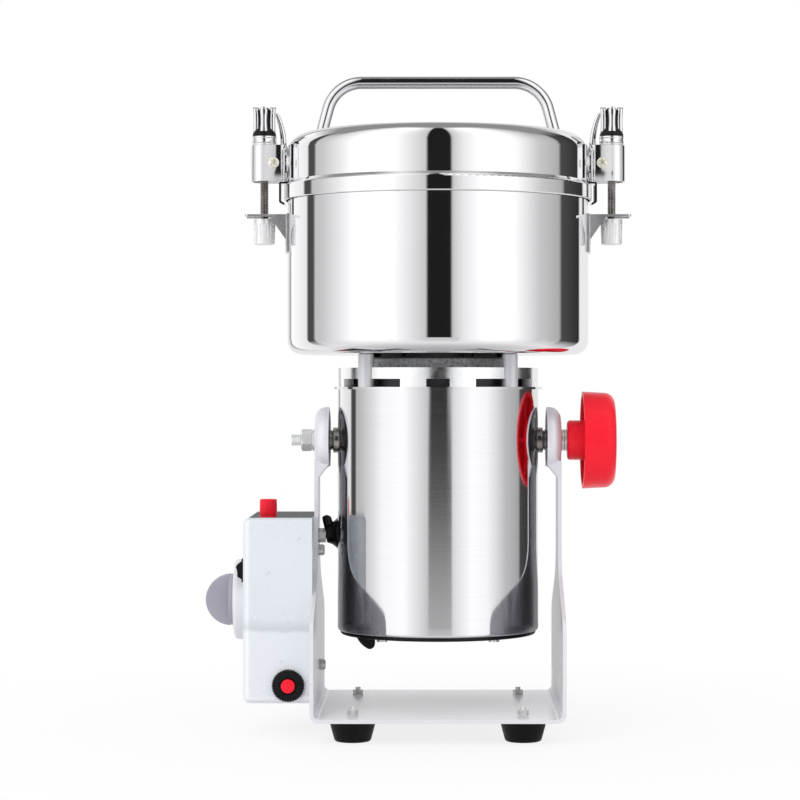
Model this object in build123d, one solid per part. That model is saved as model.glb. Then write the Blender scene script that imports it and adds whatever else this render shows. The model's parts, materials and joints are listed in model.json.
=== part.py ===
from build123d import *
import math
import os

# Electric grain mill: a tilting motor and grinding bowl hung between the ears of a bent
# sheet stand, with a control box on the stand's left side and a lid held by two clamps.
# Millimetres, +Z up. Everything is drawn about the mill's own axis with the floor at Z = 0,
# and place_in_row_frame() moves it to the middle of the bounding box's base.

# ---- fits -------------------------------------------------------------------------------
RUN_FIT = 0.05          # radial clearance of a shaft in its bore
LOOSE_FIT = 0.1         # radial clearance of a screw in its hole
GAP = 0.3               # air between faces of bodies that move past each other

# ---- feet and stand ---------------------------------------------------------------------
FOOT_H = 14.5
FOOT_TOP_D = 31.0
FOOT_BOTTOM_D = 23.6
FOOT_EDGE_R = 1.6
FOOT_INSET_X = 26.7     # from the cheek's outer face to the foot's centre
FOOT_INSET_Y = 27.0
FOOT_RECESS_D = 12.0
FOOT_RECESS_H = 7.0
FOOT_SCREW_D = 3.5
FOOT_SCREW_HEAD_D = 8.0
FOOT_SCREW_HEAD_H = 2.6
FOOT_NUT_AF = 6.0
FOOT_NUT_H = 3.2
FOOT_SCREW_PROUD = 1.9

SHEET_T = 2.5
CHEEK_ROOM = 12.4       # air between the housing and the inside of a cheek
STAND_DEPTH = 166.0
STAND_BEND_R = 6.0
CHEEK_SIDE_H = 60.0     # height of the cheeks' square part, above the plate
CHEEK_SIDE_R = 14.0
FLARE_H = 31.0          # height over which a cheek narrows to its neck
FLARE_R = 28.0
NECK_W = 31.0
PIVOT_Z = 193.0
EAR_R = 22.0
EAR_ROUND = 7.5
EAR_ROOM = 5.4          # air between the housing and the ear's lip
LIP_END_H = 9.0         # height over which the ear's lip runs out down the neck

# ---- pivot ------------------------------------------------------------------------------
PIVOT_STUD_D = 8.0
PIVOT_HEAD_D = 14.0
PIVOT_HEAD_H = 4.5
SPACER_FLANGE_D = 17.0
SPACER_FLANGE_T = 3.0
SPACER_GROOVE_D = 13.0
PIVOT_NUT_AF = 13.0
PIVOT_NUT_H = 7.3
PIVOT_WASHER_D = 14.6
PIVOT_WASHER_T = 1.6
STUD_PROUD = 6.7
TILT_WASHER_D = 14.3
TILT_WASHER_T = 2.0
TILT_WASHERS = 2

TILT_HUB_D = 26.4
TILT_HUB_L = 10.2
TILT_HUB_EDGE_R = 2.0
TILT_CUP_D = 64.7
TILT_CUP_L = 21.3
TILT_CUP_R = 7.0
TILT_CUP_DRAFT = 1.2    # how much smaller the cup's radius is at its closed end
TILT_CUP_WALL = 3.0
TILT_RIBS = 6
TILT_RIB_T = 2.0
TILT_RIB_INSET = 4.0
TILT_INSERT_D = 14.0
TILT_INSERT_L = 16.0

# ---- motor housing ----------------------------------------------------------------------
HOUSING_R = 66.8
HOUSING_WALL = 1.2
HOUSING_BOTTOM_Z = 67.0
HOUSING_H = 161.4
HOUSING_TAPER_H = 4.0
HOUSING_TAPER_W = 1.8
HOUSING_FLANGE_W = 2.5
HOUSING_FLANGE_T = 1.5
COVER_T = 2.4
COVER_VENT_W = 3.0
COVER_VENT_L = 20.0
COVER_VENTS = 12
COVER_VENT_R = 34.0
DRIP_INSET = 13.6       # from the cover's rim to the drain hook
DRIP_Y = -30.0
DRIP_W = 12.0
DRIP_H = 7.4
DRIP_DEPTH = 9.0
SCREW_D = 4.0
SCREW_HEAD_D = 7.0
SCREW_HEAD_H = 2.4

# ---- motor ------------------------------------------------------------------------------
SHAFT_D = 12.0
BEARING_OD = 32.0
BEARING_W = 10.0
LOWER_BRACKET_H = 21.0  # above the housing's bottom
LOWER_BRACKET_T = 6.0
BRACKET_LEG_INSET = 14.0
BRACKET_SPOKE_W = 12.0
BEARING_BOSS_WALL = 4.0
BRACKET_LEG_WALL = 0.5
FRAME_ROOM = 7.6        # air between the housing and the motor's frame
FRAME_WALL = 2.5
FRAME_END_GAP = 8.0     # from the frame's end to the housing's top
STATOR_END_ROOM = 15.0  # from the upper winding to the upper bearing
STATOR_WALL = 9.6
STATOR_POLE_ARC = 118.0
STATOR_POLE_W = 26.0
STATOR_SHOE_T = 7.0
COIL_SIDE_W = 8.0
COIL_END_H = 6.0
COIL_ROOM = 0.2
COIL_DEPTH = 11.1
AIR_GAP = 0.8
ROTOR_SLOTS = 12
ROTOR_SLOT_W = 3.0
ROTOR_SLOT_DEPTH = 8.0
WINDING_H = 13.0
COMMUTATOR_R = 15.0
COMMUTATOR_L = 18.0
BRUSH_W = 7.0
BRUSH_L = 12.0
BRUSH_BOX_WALL = 1.5
BRUSH_BOX_L = 20.0
BRUSH_BOX_INSET = 3.0
FAN_ROOM = 1.6          # air between the fan and the bracket's legs
FAN_T = 2.0
FAN_BLADES = 9
FAN_BLADE_H = 8.0

# ---- neck between motor and bowl --------------------------------------------------------
TAB_H = 5.3
TAB_W = 17.3
TAB_PAIR_ANGLE = 14.0
TAB_RING_T = 7.0
END_DISC_INSET = 0.3
END_DISC_T = 7.3
NECK_RING_R = 44.0
NECK_RING_H = 9.0
NECK_RING_WALL = 9.0
NECK_SLOT_W = 15.0
NECK_SLOT_H = 2.0
NECK_SLOTS = 8
POST_D = 10.2
POST_INSET = 0.5        # from the end disc's rim to the posts' centres
SEAL_R = 13.0

# ---- bowl -------------------------------------------------------------------------------
BOWL_R = 100.0
BOWL_WALL = 1.5
BOWL_BOTTOM_R = 9.5
BOWL_H = 108.7
BOWL_CURL_H = 1.6
BOWL_CURL_W = 0.6
BLADE_T = 4.0
LOWER_BLADE_Z = 9.0     # above the bowl's inner floor
LOWER_BLADE_GAP = 12.5  # between the blade's tips and the bowl's wall
UPPER_BLADE_GAP = 20.5
BLADE_ROOT_W = 34.0
BLADE_TIP_W = 20.0
BLADE_PITCH_Z = 22.0
BLADE_UPTURN_H = 12.0
BLADE_UPTURN_T = 3.3
SPACER_D = 22.0
BLADE_NUT_AF = 19.0
BLADE_NUT_H = 11.0

# ---- lid --------------------------------------------------------------------------------
LID_WALL = 1.2
LID_H = 33.2            # above the skirt's step
LID_SHOULDER_R = 11.5
LID_STEP = 3.1          # how far the skirt stands out from the lid's wall
SKIRT_FIT = 1.2         # radial air between the skirt and the bowl
SKIRT_H = 10.8
SKIRT_EDGE_R = 1.6
GASKET_T = 2.6
GASKET_W = 4.2
LID_LIFT = 40.0

HANDLE_D = 8.3
HANDLE_H = 39.2
HANDLE_FOOT_INSET = 21.3
HANDLE_SPLAY = 9.4      # how much further out the bar's feet are than its top corners
HANDLE_BEND_R = 23.0
HANDLE_COLLAR_W = 2.2
HANDLE_COLLAR_T = 1.4
HANDLE_THREAD_L = 8.0
HANDLE_NUT_AF = 10.0
HANDLE_NUT_H = 5.0
HANDLE_THREAD_D = 6.0

# ---- clamps -----------------------------------------------------------------------------
CLAMP_REACH = 9.4       # from the lid's wall to the clamp's pivot
CLAMP_PIVOT_H = 14.0    # above the skirt's step
CLAMP_PIVOT_D = 4.0
CLAMP_ROD_OFFSET = 7.0  # from the clamp's pivot out to its rod
CLAMP_ROD_D = 5.8
CLAMP_SWING_ROOM = 1.2  # air above the tension nut, so that it swings clear of its seat
SADDLE_T = 1.5
SADDLE_W = 60.0
SADDLE_DROP = 11.6      # from the clamp's pivot to the saddle's lower edge
SADDLE_RISE = 10.7
TAIL_W = 16.0
TAIL_T = 1.4
TAIL_OUT = 2.4          # from the skirt out to the tail's middle
TAIL_BOTTOM = 0.6       # below the skirt's lower edge
RIVET_D = 7.0
RIVET_PROUD = 1.3
RIVET_PITCH = 42.0
YOKE_W = 24.0
YOKE_WALL = 1.5
YOKE_H = 24.0
YOKE_NOSE = 8.8         # from the rod out to the yoke's nose
YOKE_BACK_GAP = 0.8     # between the saddle and the yoke's legs
YOKE_END_R = 9.0
EAR_PLATE_T = 3.4
EAR_PLATE_R = 5.0
BLOCK_W = 11.6
BLOCK_KNUCKLE_R = 4.6
BLOCK_DROP = 8.3        # from the clamp's pivot to the block's underside
BLOCK_BACK = 6.8
BLOCK_FRONT = 4.9
BLOCK_TOP_GAP = 0.2
CLAMP_WASHER_D = 16.4
CLAMP_WASHER_T = 1.6
PIVOT_SCREW_HEAD_D = 6.8
PIVOT_SCREW_HEAD_H = 1.8
HORN_W = 4.6
HORN_LEAN = 4.0
HORN_H = 23.2

KNOB_COLLAR_D = 16.6
KNOB_COLLAR_H = 4.6
KNOB_DOME_H = 5.6
KNOB_DOME_INSET = 0.4
KNOB_STEM_D = 7.4
KNOB_CAP_T = 6.1        # from the rod's end to the top of the stem
KNOB_FINGERS = 4
KNOB_FINGER_W = 6.2
KNOB_FINGER_T = 3.6
KNOB_FINGER_INSET = 0.2
KNOB_FINGER_SINK = 3.0  # how far a finger's root reaches down into the dome
KNOB_FINGER_WAIST = 0.9
KNOB_FINGER_OVER = 0.2  # how far the fingers rise above the stem

FLANGE_DROP = 15.9      # from the bowl's rim to the flange's top
FLANGE_T = 1.5
FLANGE_NOSE = 12.4      # from the rod out to the flange's end
FLANGE_W = 24.0
FLANGE_SEAT = 2.0       # from the rod out to the end of its snug seat
FLANGE_MOUTH_W = 16.4
BOWL_SADDLE_H = 25.3
BOWL_SADDLE_W = 40.0
BOWL_SADDLE_T = 1.6
GUSSET_T = 1.6
GUSSET_BACK = 4.0       # from the rod back to the gusset's end
GUSSET_H = 20.8
TENSION_NUT_D = 14.7
TENSION_NUT_H = 17.0
TENSION_NUT_DRAFT = 0.5
TENSION_NUT_FLOOR = 2.0
TENSION_NUT_RIBS = 20
TENSION_NUT_RIB_R = 0.55
TENSION_NUT_NECK_H = 3.2

# ---- control box ------------------------------------------------------------------------
BOX_W = 45.0
BOX_DEPTH = 95.0
BOX_H = 120.6
BOX_BOTTOM_Z = 22.8
BOX_WALL = 1.5
BOX_EDGE_R = 4.5
BOX_ROOM_R = 2.2
BOX_SCREW_D = 4.0
BOX_SCREW_HEAD_D = 7.5
BOX_SCREW_HEAD_H = 3.6
BOX_SCREW_END = 8.0     # how far a screw reaches into the box
BOX_SCREW_EDGE_R = 1.4
BOX_SCREW_NUT_AF = 7.0
BOX_SCREW_NUT_H = 3.0
BOX_SCREW_LOW_Y = 18.0
BOX_SCREW_LOW_H = 18.8  # above the box's bottom
BOX_SCREW_HIGH_Y = 4.0
BOX_SCREW_HIGH_DROP = 23.8

TIMER_DROP = 56.4       # below the box's top
DIAL_R = 26.6
DIAL_T = 8.5
DIAL_EDGE_R = 3.0
TIMER_KNOB_R = 17.0
TIMER_KNOB_BASE_T = 3.0
TIMER_FIN_T = 9.0
TIMER_SHAFT_D = 6.0
TIMER_SHAFT_ROOM = 1.5
TIMER_BODY_SIDE = 38.0
TIMER_BODY_T = 22.0

ROCKER_Y = -30.0
ROCKER_DROP = 34.9      # below the box's top
ROCKER_R = 5.9
ROCKER_W = 9.0
ROCKER_HOLLOW = 1.3
ROCKER_THROW = 18.0
ROCKER_FRAME_H = 15.0
ROCKER_FRAME_W = 12.5
ROCKER_FRAME_T = 1.6
ROCKER_FRAME_R = 1.0
ROCKER_BODY_D = 14.0
ROCKER_BODY_WALL = 0.9

BUTTON_INSET = 13.0     # from the box's outer face
BUTTON_Y = 10.0
BUTTON_D = 12.0
BUTTON_NECK_D = 10.6
BUTTON_HOLE_ROOM = 0.25
BUTTON_PROUD = 9.8
BUTTON_TRAVEL = 2.5
BUTTON_SKIRT = 1.0
BUTTON_EDGE_R = 0.9
BUTTON_GROOVE_COUNT = 16
BUTTON_GROOVE_R = 0.7
BUTTON_GROOVE_DEPTH = 0.35
SWITCH_BODY_SIDE = 17.0
SWITCH_BODY_H = 20.0

RESET_INSET = 15.4      # from the cheek
RESET_H = 12.0          # above the box's bottom
RESET_RING_D = 21.2
RESET_RING_T = 3.6
RESET_RING_TEETH = 36
RESET_TOOTH_R = 0.6
RESET_D = 9.0
RESET_PROUD = 3.2
RESET_TRAVEL = 2.0
RESET_BARREL_D = 15.0
RESET_BARREL_PROUD = 2.4
RESET_SHOULDER = 0.7
RESET_SKIRT = 1.0
RESET_BODY_L = 26.0

GLAND_Y = 4.0
GLAND_DROP = 14.1       # below the box's top
GLAND_NUT_AF = 8.4
GLAND_NUT_H = 4.4
GLAND_BARREL_D = 7.2
GLAND_BACK_NUT_H = 2.5
LEAD_D = 5.0
LEAD_IN_BOX = 14.0
BOOT_BASE_R = 10.5
BOOT_NECK_R = 5.2
BOOT_SINK = 4.0         # how far its solids start inside the housing, before the cut
BOOT_L = 7.4            # from the housing to the boot's mouth
BOOT_RISE = 1.5
LOBE_H = 15.0
LOBE_W = 10.0
LOBE_ROOM = 1.6         # air between the lobe and the cheek
LOBE_LIFT = 5.4         # from the lead's axis up to the lobe's underside

INLET_INSET = 23.0      # from the cheek
INLET_H = 25.2          # above the box's bottom
INLET_D = 17.0
INLET_PROUD = 9.0
INLET_BORE_D = 8.0

# ---- worked out from the values above ---------------------------------------------------
PLATE_Z = FOOT_H
PLATE_TOP = PLATE_Z + SHEET_T
SHOULDER_Z = PLATE_TOP + CHEEK_SIDE_H
CHEEK_IN = HOUSING_R + CHEEK_ROOM
CHEEK_OUT = CHEEK_IN + SHEET_T
STAND_W = 2 * CHEEK_OUT
FOOT_PITCH_X = STAND_W - 2 * FOOT_INSET_X
FOOT_PITCH_Y = STAND_DEPTH - 2 * FOOT_INSET_Y
LIP_END_X = HOUSING_R + EAR_ROOM
NECK_TOP_Z = PIVOT_Z - math.sqrt(EAR_R ** 2 - (NECK_W / 2) ** 2)

HOUSING_TOP = HOUSING_BOTTOM_Z + HOUSING_H
HOUSING_IN = HOUSING_R - HOUSING_WALL
END_DISC_R = HOUSING_R - END_DISC_INSET
END_DISC_Z = HOUSING_TOP + TAB_H
END_DISC_TOP = END_DISC_Z + END_DISC_T
POST_RADIUS = END_DISC_R - POST_INSET
BOWL_Z = END_DISC_TOP + NECK_RING_H
BOWL_FLOOR = BOWL_Z + BOWL_WALL
BOWL_TOP = BOWL_Z + BOWL_H
BOWL_IN = BOWL_R - BOWL_WALL

BEARING_R = BEARING_OD / 2
SHAFT_R = SHAFT_D / 2
LOWER_BRACKET_Z = HOUSING_BOTTOM_Z + LOWER_BRACKET_H
LOWER_BEARING_Z = LOWER_BRACKET_Z + LOWER_BRACKET_T
UPPER_BEARING_Z = END_DISC_TOP - BEARING_W
BRACKET_TOP = LOWER_BEARING_Z
BRACKET_LEG_R = SCREW_HEAD_D / 2 + BRACKET_LEG_WALL
FRAME_R = HOUSING_IN - FRAME_ROOM
FRAME_IN = FRAME_R - FRAME_WALL
FRAME_TOP = HOUSING_TOP - FRAME_END_GAP
COIL_OUT = FRAME_IN - STATOR_WALL
STATOR_BORE = COIL_OUT - COIL_DEPTH - STATOR_SHOE_T
ROTOR_R = STATOR_BORE - AIR_GAP
COMMUTATOR_Z = LOWER_BEARING_Z + BEARING_W + 4.0
ROTOR_Z = COMMUTATOR_Z + COMMUTATOR_L + WINDING_H + 2.0
STATOR_L = UPPER_BEARING_Z - STATOR_END_ROOM - WINDING_H - ROTOR_Z
FAN_R = HOUSING_IN - BRACKET_LEG_INSET - BRACKET_LEG_R - FAN_ROOM
FAN_Z = LOWER_BRACKET_Z - FAN_T - FAN_BLADE_H - 2.0
COVER_Z = HOUSING_BOTTOM_Z - COVER_T
LOWER_BLADE_R = BOWL_IN - LOWER_BLADE_GAP
UPPER_BLADE_R = BOWL_IN - UPPER_BLADE_GAP
LOWER_BLADE_BASE = BOWL_FLOOR + LOWER_BLADE_Z
UPPER_BLADE_BASE = LOWER_BLADE_BASE + BLADE_PITCH_Z
BLADE_NUT_Z = UPPER_BLADE_BASE + BLADE_T

SKIRT_IN = BOWL_R + SKIRT_FIT
SKIRT_R = SKIRT_IN + LID_WALL
LID_R = SKIRT_R - LID_STEP
GASKET_BOTTOM = BOWL_TOP + GAP
GASKET_TOP = GASKET_BOTTOM + GASKET_T
SKIRT_TOP_Z = GASKET_TOP + LID_WALL
SKIRT_BOTTOM_Z = SKIRT_TOP_Z - SKIRT_H
LID_TOP_Z = SKIRT_TOP_Z + LID_H
HANDLE_TOP_Z = LID_TOP_Z + HANDLE_H
HANDLE_FOOT_X = LID_R - HANDLE_FOOT_INSET
HANDLE_CORNER_X = HANDLE_FOOT_X - HANDLE_SPLAY

CLAMP_PIVOT_X = LID_R + CLAMP_REACH
CLAMP_PIVOT_Z = SKIRT_TOP_Z + CLAMP_PIVOT_H
CLAMP_ROD_X = CLAMP_PIVOT_X + CLAMP_ROD_OFFSET
SADDLE_BOTTOM_Z = CLAMP_PIVOT_Z - SADDLE_DROP
SADDLE_TOP_Z = CLAMP_PIVOT_Z + SADDLE_RISE
YOKE_OUT = CLAMP_ROD_X + YOKE_NOSE
YOKE_IN = LID_R + SADDLE_T + YOKE_BACK_GAP
YOKE_TOP_Z = CLAMP_PIVOT_Z + YOKE_H / 2
YOKE_BOTTOM_Z = CLAMP_PIVOT_Z - YOKE_H / 2
YOKE_LEG_Y = YOKE_W / 2 - YOKE_WALL
HORN_TOP_Z = YOKE_TOP_Z + HORN_H
BLOCK_BOTTOM_Z = CLAMP_PIVOT_Z - BLOCK_DROP
BLOCK_TOP_Z = YOKE_TOP_Z + BLOCK_TOP_GAP
FLANGE_TOP_Z = BOWL_TOP - FLANGE_DROP
FLANGE_BOTTOM = FLANGE_TOP_Z - FLANGE_T
FLANGE_OUT = CLAMP_ROD_X + FLANGE_NOSE
FLANGE_SEAT_OUT = CLAMP_ROD_X + FLANGE_SEAT
GUSSET_OUT = CLAMP_ROD_X - GUSSET_BACK
TENSION_NUT_TOP = FLANGE_BOTTOM - CLAMP_SWING_ROOM
TENSION_NUT_BOTTOM = TENSION_NUT_TOP - TENSION_NUT_H
ROD_R = CLAMP_ROD_D / 2
ROD_BOTTOM = TENSION_NUT_BOTTOM + TENSION_NUT_FLOOR + GAP
ROD_TOP = BLOCK_BOTTOM_Z + LID_LIFT
KNOB_BOTTOM = BLOCK_TOP_Z + CLAMP_WASHER_T
KNOB_COLLAR_TOP = KNOB_BOTTOM + KNOB_COLLAR_H
KNOB_STEM_TOP_Z = ROD_TOP + KNOB_CAP_T
KNOB_FINGER_TOP_Z = KNOB_STEM_TOP_Z + KNOB_FINGER_OVER

BOX_IN_X = CHEEK_OUT
BOX_OUT_X = CHEEK_OUT + BOX_W
BOX_TOP = BOX_BOTTOM_Z + BOX_H
BOX_FRONT_Y = -BOX_DEPTH / 2
BOX_SCREW_SPOTS = ((BOX_SCREW_LOW_Y, BOX_BOTTOM_Z + BOX_SCREW_LOW_H),
                   (BOX_SCREW_HIGH_Y, BOX_TOP - BOX_SCREW_HIGH_DROP))
TIMER_Z = BOX_TOP - TIMER_DROP
DIAL_X = BOX_OUT_X + DIAL_T
TIMER_BASE_X = DIAL_X + GAP
TIMER_TIP_X = TIMER_BASE_X + TIMER_KNOB_BASE_T + TIMER_KNOB_R - 1.0
ROCKER_Z = BOX_TOP - ROCKER_DROP
BUTTON_X = BOX_OUT_X - BUTTON_INSET
RESET_X = BOX_IN_X + RESET_INSET
RESET_Z = BOX_BOTTOM_Z + RESET_H
GLAND_Z = BOX_TOP - GLAND_DROP
INLET_X = BOX_IN_X + INLET_INSET
INLET_Z = BOX_BOTTOM_Z + INLET_H
BOOT_MOUTH_X = HOUSING_R + BOOT_L

STUD_IN = HOUSING_IN - PIVOT_HEAD_H
NUT_FACE = CHEEK_OUT + GAP + PIVOT_WASHER_T
STUD_OUT = NUT_FACE + PIVOT_NUT_H + STUD_PROUD
TILT_HUB_X = CHEEK_OUT + GAP + TILT_WASHERS * TILT_WASHER_T
TILT_CUP_X = TILT_HUB_X + TILT_HUB_L
TILT_OUT = TILT_CUP_X + TILT_CUP_L

LEFT_REACH = TIMER_TIP_X
RIGHT_REACH = FLANGE_OUT
AXIS_X = (LEFT_REACH - RIGHT_REACH) / 2


# ---- helpers ----------------------------------------------------------------------------
BASE = (Align.CENTER, Align.CENTER, Align.MIN)


def rod_z(radius, z0, z1, x=0.0, y=0.0):
    return Pos(x, y, z0) * Cylinder(radius, z1 - z0, align=BASE)


def rod_x(radius, x0, x1, y=0.0, z=0.0):
    return Pos((x0 + x1) / 2, y, z) * Rot(0, 90, 0) * Cylinder(radius, abs(x1 - x0))


def rod_y(radius, y0, y1, x=0.0, z=0.0):
    return Pos(x, (y0 + y1) / 2, z) * Rot(90, 0, 0) * Cylinder(radius, abs(y1 - y0))


def block(x0, x1, y0, y1, z0, z1):
    centre = Pos((x0 + x1) / 2, (y0 + y1) / 2, (z0 + z1) / 2)
    return centre * Box(abs(x1 - x0), abs(y1 - y0), abs(z1 - z0))


def ring_z(outer, inner, z0, z1):
    return rod_z(outer, z0, z1) - rod_z(inner, z0 - 1, z1 + 1)


def hex_z(across_flats, z0, z1, x=0.0, y=0.0):
    outline = RegularPolygon(across_flats / 2, 6, major_radius=False)
    return Pos(x, y, z0) * extrude(outline, z1 - z0)


def hex_x(across_flats, x0, x1, y=0.0, z=0.0):
    outline = RegularPolygon(across_flats / 2, 6, major_radius=False)
    return Pos(x0, y, z) * Rot(0, 90, 0) * extrude(outline, x1 - x0)


def revolve_z(*points):
    """Solid of revolution about Z from (radius, height) points."""
    return revolve(Plane.XZ * make_face(Polyline(*points, close=True)), Axis.Z)


def mirrored(shape):
    return mirror(shape, Plane.YZ)


def around(shape, count, start=0.0):
    return [Rot(0, 0, start + i * 360 / count) * shape for i in range(count)]


def four_corners(pitch_x, pitch_y):
    return [(sx * pitch_x / 2, sy * pitch_y / 2) for sx in (-1, 1) for sy in (-1, 1)]


def cut_all(shape, tools):
    for tool in tools:
        shape = shape - tool
    return shape


# ---- stand ------------------------------------------------------------------------------
def u_section(inset):
    half = CHEEK_OUT - inset
    top = PIVOT_Z + EAR_R + 1
    bottom = PLATE_Z + inset
    bend = STAND_BEND_R - inset
    outline = make_face(Polyline((-half, top), (-half, bottom), (half, bottom), (half, top), close=True))
    corners = outline.vertices().sort_by(Axis.Y)[:2]
    return Plane.XZ * fillet(corners, bend)


def cheek_outline(inset=0.0):
    """The cheeks' outline in the YZ plane: a wide foot that flares in to a straight neck."""
    side = STAND_DEPTH / 2 - inset
    neck = NECK_W / 2 - inset
    edge = FilletPolyline((side, PLATE_Z - 1), (side, SHOULDER_Z), (neck, SHOULDER_Z + FLARE_H),
                          (neck, PIVOT_Z), radius=[CHEEK_SIDE_R, FLARE_R])
    outline = edge + mirror(edge, Plane.YZ)
    outline += Line((-neck, PIVOT_Z), (neck, PIVOT_Z))
    outline += Line((-side, PLATE_Z - 1), (side, PLATE_Z - 1))
    return Plane.YZ * make_face(outline)


def ear_dish():
    """Pressed dish of the right ear: a web with a rounded edge and a lip turned inward."""
    outer = rod_x(EAR_R, LIP_END_X, CHEEK_OUT, 0, PIVOT_Z)
    outer = fillet(outer.edges().group_by(Axis.X)[-1], EAR_ROUND)
    inner = rod_x(EAR_R - SHEET_T, LIP_END_X - 1, CHEEK_IN, 0, PIVOT_Z)
    inner = fillet(inner.edges().group_by(Axis.X)[-1], EAR_ROUND - SHEET_T)
    dish = outer - inner
    half = NECK_W / 2 - SHEET_T
    open_foot = block(LIP_END_X - 1, CHEEK_IN, -half, half, PIVOT_Z - EAR_R - 1, PIVOT_Z)
    return dish - open_foot


def neck_lips():
    """The ear's lip carried a little way down both sides of the neck, running out to nothing."""
    band = extrude(cheek_outline() - cheek_outline(SHEET_T), CHEEK_IN)
    wedge = make_face(Polyline(
        (CHEEK_IN, PIVOT_Z), (LIP_END_X, PIVOT_Z), (LIP_END_X, NECK_TOP_Z),
        (CHEEK_IN, NECK_TOP_Z - LIP_END_H), close=True))
    wedge = extrude(Plane.XZ * wedge, STAND_DEPTH, both=True)
    inside_dish = rod_x(EAR_R - SHEET_T, 0, CHEEK_IN, 0, PIVOT_Z)
    beside = rod_x(EAR_R, 0, STAND_W, 0, PIVOT_Z) + block(
        0, STAND_W, -NECK_W / 2, NECK_W / 2, 0, NECK_TOP_Z)
    return (band & wedge & beside) - inside_dish


def stand_frame():
    u_bend = extrude(u_section(0) - u_section(SHEET_T), STAND_DEPTH, both=True)
    sheet = u_bend & extrude(cheek_outline(), STAND_W, both=True)
    ear_zone = block(CHEEK_IN - 1, CHEEK_OUT + 1, -EAR_R, EAR_R,
                     PIVOT_Z - EAR_R * 0.6, PIVOT_Z + EAR_R + 2)
    sheet = sheet - ear_zone - mirrored(ear_zone)
    right = ear_dish() + neck_lips()
    frame = sheet + right + mirrored(right)
    frame -= rod_x(PIVOT_STUD_D / 2 + RUN_FIT, -STAND_W, STAND_W, 0, PIVOT_Z)
    for x, y in four_corners(FOOT_PITCH_X, FOOT_PITCH_Y):
        frame -= rod_z(FOOT_SCREW_D / 2 + LOOSE_FIT, 0, PLATE_TOP + 1, x, y)
    for y, z in BOX_SCREW_SPOTS:
        frame -= rod_x(BOX_SCREW_D / 2 + LOOSE_FIT, -STAND_W, 0, y, z)
    return frame - rod_x(GLAND_BARREL_D / 2 + LOOSE_FIT, -STAND_W, 0, GLAND_Y, GLAND_Z)


def rubber_foot():
    foot = Cone(FOOT_BOTTOM_D / 2, FOOT_TOP_D / 2, FOOT_H, align=BASE)
    foot = fillet(foot.edges().sort_by(Axis.Z)[0], FOOT_EDGE_R)
    foot -= rod_z(FOOT_RECESS_D / 2, -1, FOOT_RECESS_H)
    return foot - rod_z(FOOT_SCREW_D / 2 + LOOSE_FIT, 0, FOOT_H + 1)


def foot_fastener():
    head_bottom = FOOT_RECESS_H - FOOT_SCREW_HEAD_H
    tip = PLATE_TOP + FOOT_NUT_H + FOOT_SCREW_PROUD
    head = rod_z(FOOT_SCREW_HEAD_D / 2, head_bottom, FOOT_RECESS_H)
    head = fillet(head.edges().sort_by(Axis.Z)[0], 0.9)
    screw = head + rod_z(FOOT_SCREW_D / 2, FOOT_RECESS_H, tip)
    nut = hex_z(FOOT_NUT_AF, PLATE_TOP, PLATE_TOP + FOOT_NUT_H) - rod_z(FOOT_SCREW_D / 2, 0, tip)
    return [screw, nut]


def feet():
    corners = four_corners(FOOT_PITCH_X, FOOT_PITCH_Y)
    return [Pos(x, y, 0) * rubber_foot() for x, y in corners]


def foot_fasteners():
    corners = four_corners(FOOT_PITCH_X, FOOT_PITCH_Y)
    return [Pos(x, y, 0) * piece for x, y in corners for piece in foot_fastener()]


# ---- pivot ------------------------------------------------------------------------------
def pivot_stud(tip):
    stud = rod_x(PIVOT_STUD_D / 2, STUD_IN, tip, 0, PIVOT_Z)
    stud = chamfer(stud.edges().group_by(Axis.X)[-1], 0.8)
    head = rod_x(PIVOT_HEAD_D / 2, STUD_IN, HOUSING_R, 0, PIVOT_Z) & rod_z(HOUSING_IN, 0, 2 * PIVOT_Z)
    return stud + head


def pivot_studs():
    right_tip = TILT_HUB_X + TILT_INSERT_L - 2
    return [pivot_stud(right_tip), mirrored(pivot_stud(STUD_OUT))]


def pivot_spacer():
    """Grooved bush between the housing's wall and the stand's ear."""
    face = CHEEK_IN - GAP
    flange = rod_x(SPACER_FLANGE_D / 2, HOUSING_IN, HOUSING_R + SPACER_FLANGE_T, 0, PIVOT_Z)
    body = rod_x(SPACER_GROOVE_D / 2, HOUSING_IN, face, 0, PIVOT_Z)
    collar = rod_x(SPACER_FLANGE_D / 2 - 0.8, face - SPACER_FLANGE_T, face, 0, PIVOT_Z)
    bush = flange + body + collar - rod_z(HOUSING_R, 0, 2 * PIVOT_Z)
    return bush - rod_x(PIVOT_STUD_D / 2, 0, STAND_W, 0, PIVOT_Z)


def flat_washer(outer_d, thickness, face=CHEEK_OUT + GAP):
    washer = rod_x(outer_d / 2, face, face + thickness, 0, PIVOT_Z)
    washer = chamfer(washer.edges(), thickness * 0.15)
    return washer - rod_x(PIVOT_STUD_D / 2, 0, STAND_W, 0, PIVOT_Z)


def pivot_washers_and_nut():
    nut = hex_x(PIVOT_NUT_AF, NUT_FACE, NUT_FACE + PIVOT_NUT_H, 0, PIVOT_Z)
    nut -= rod_x(PIVOT_STUD_D / 2, 0, STAND_W, 0, PIVOT_Z)
    left = [mirrored(nut), mirrored(flat_washer(PIVOT_WASHER_D, PIVOT_WASHER_T))]
    spacers = [pivot_spacer(), mirrored(pivot_spacer())]
    right = [flat_washer(TILT_WASHER_D, TILT_WASHER_T, TILT_HUB_X - (i + 1) * TILT_WASHER_T)
             for i in range(TILT_WASHERS)]
    return left + right + spacers


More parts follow.
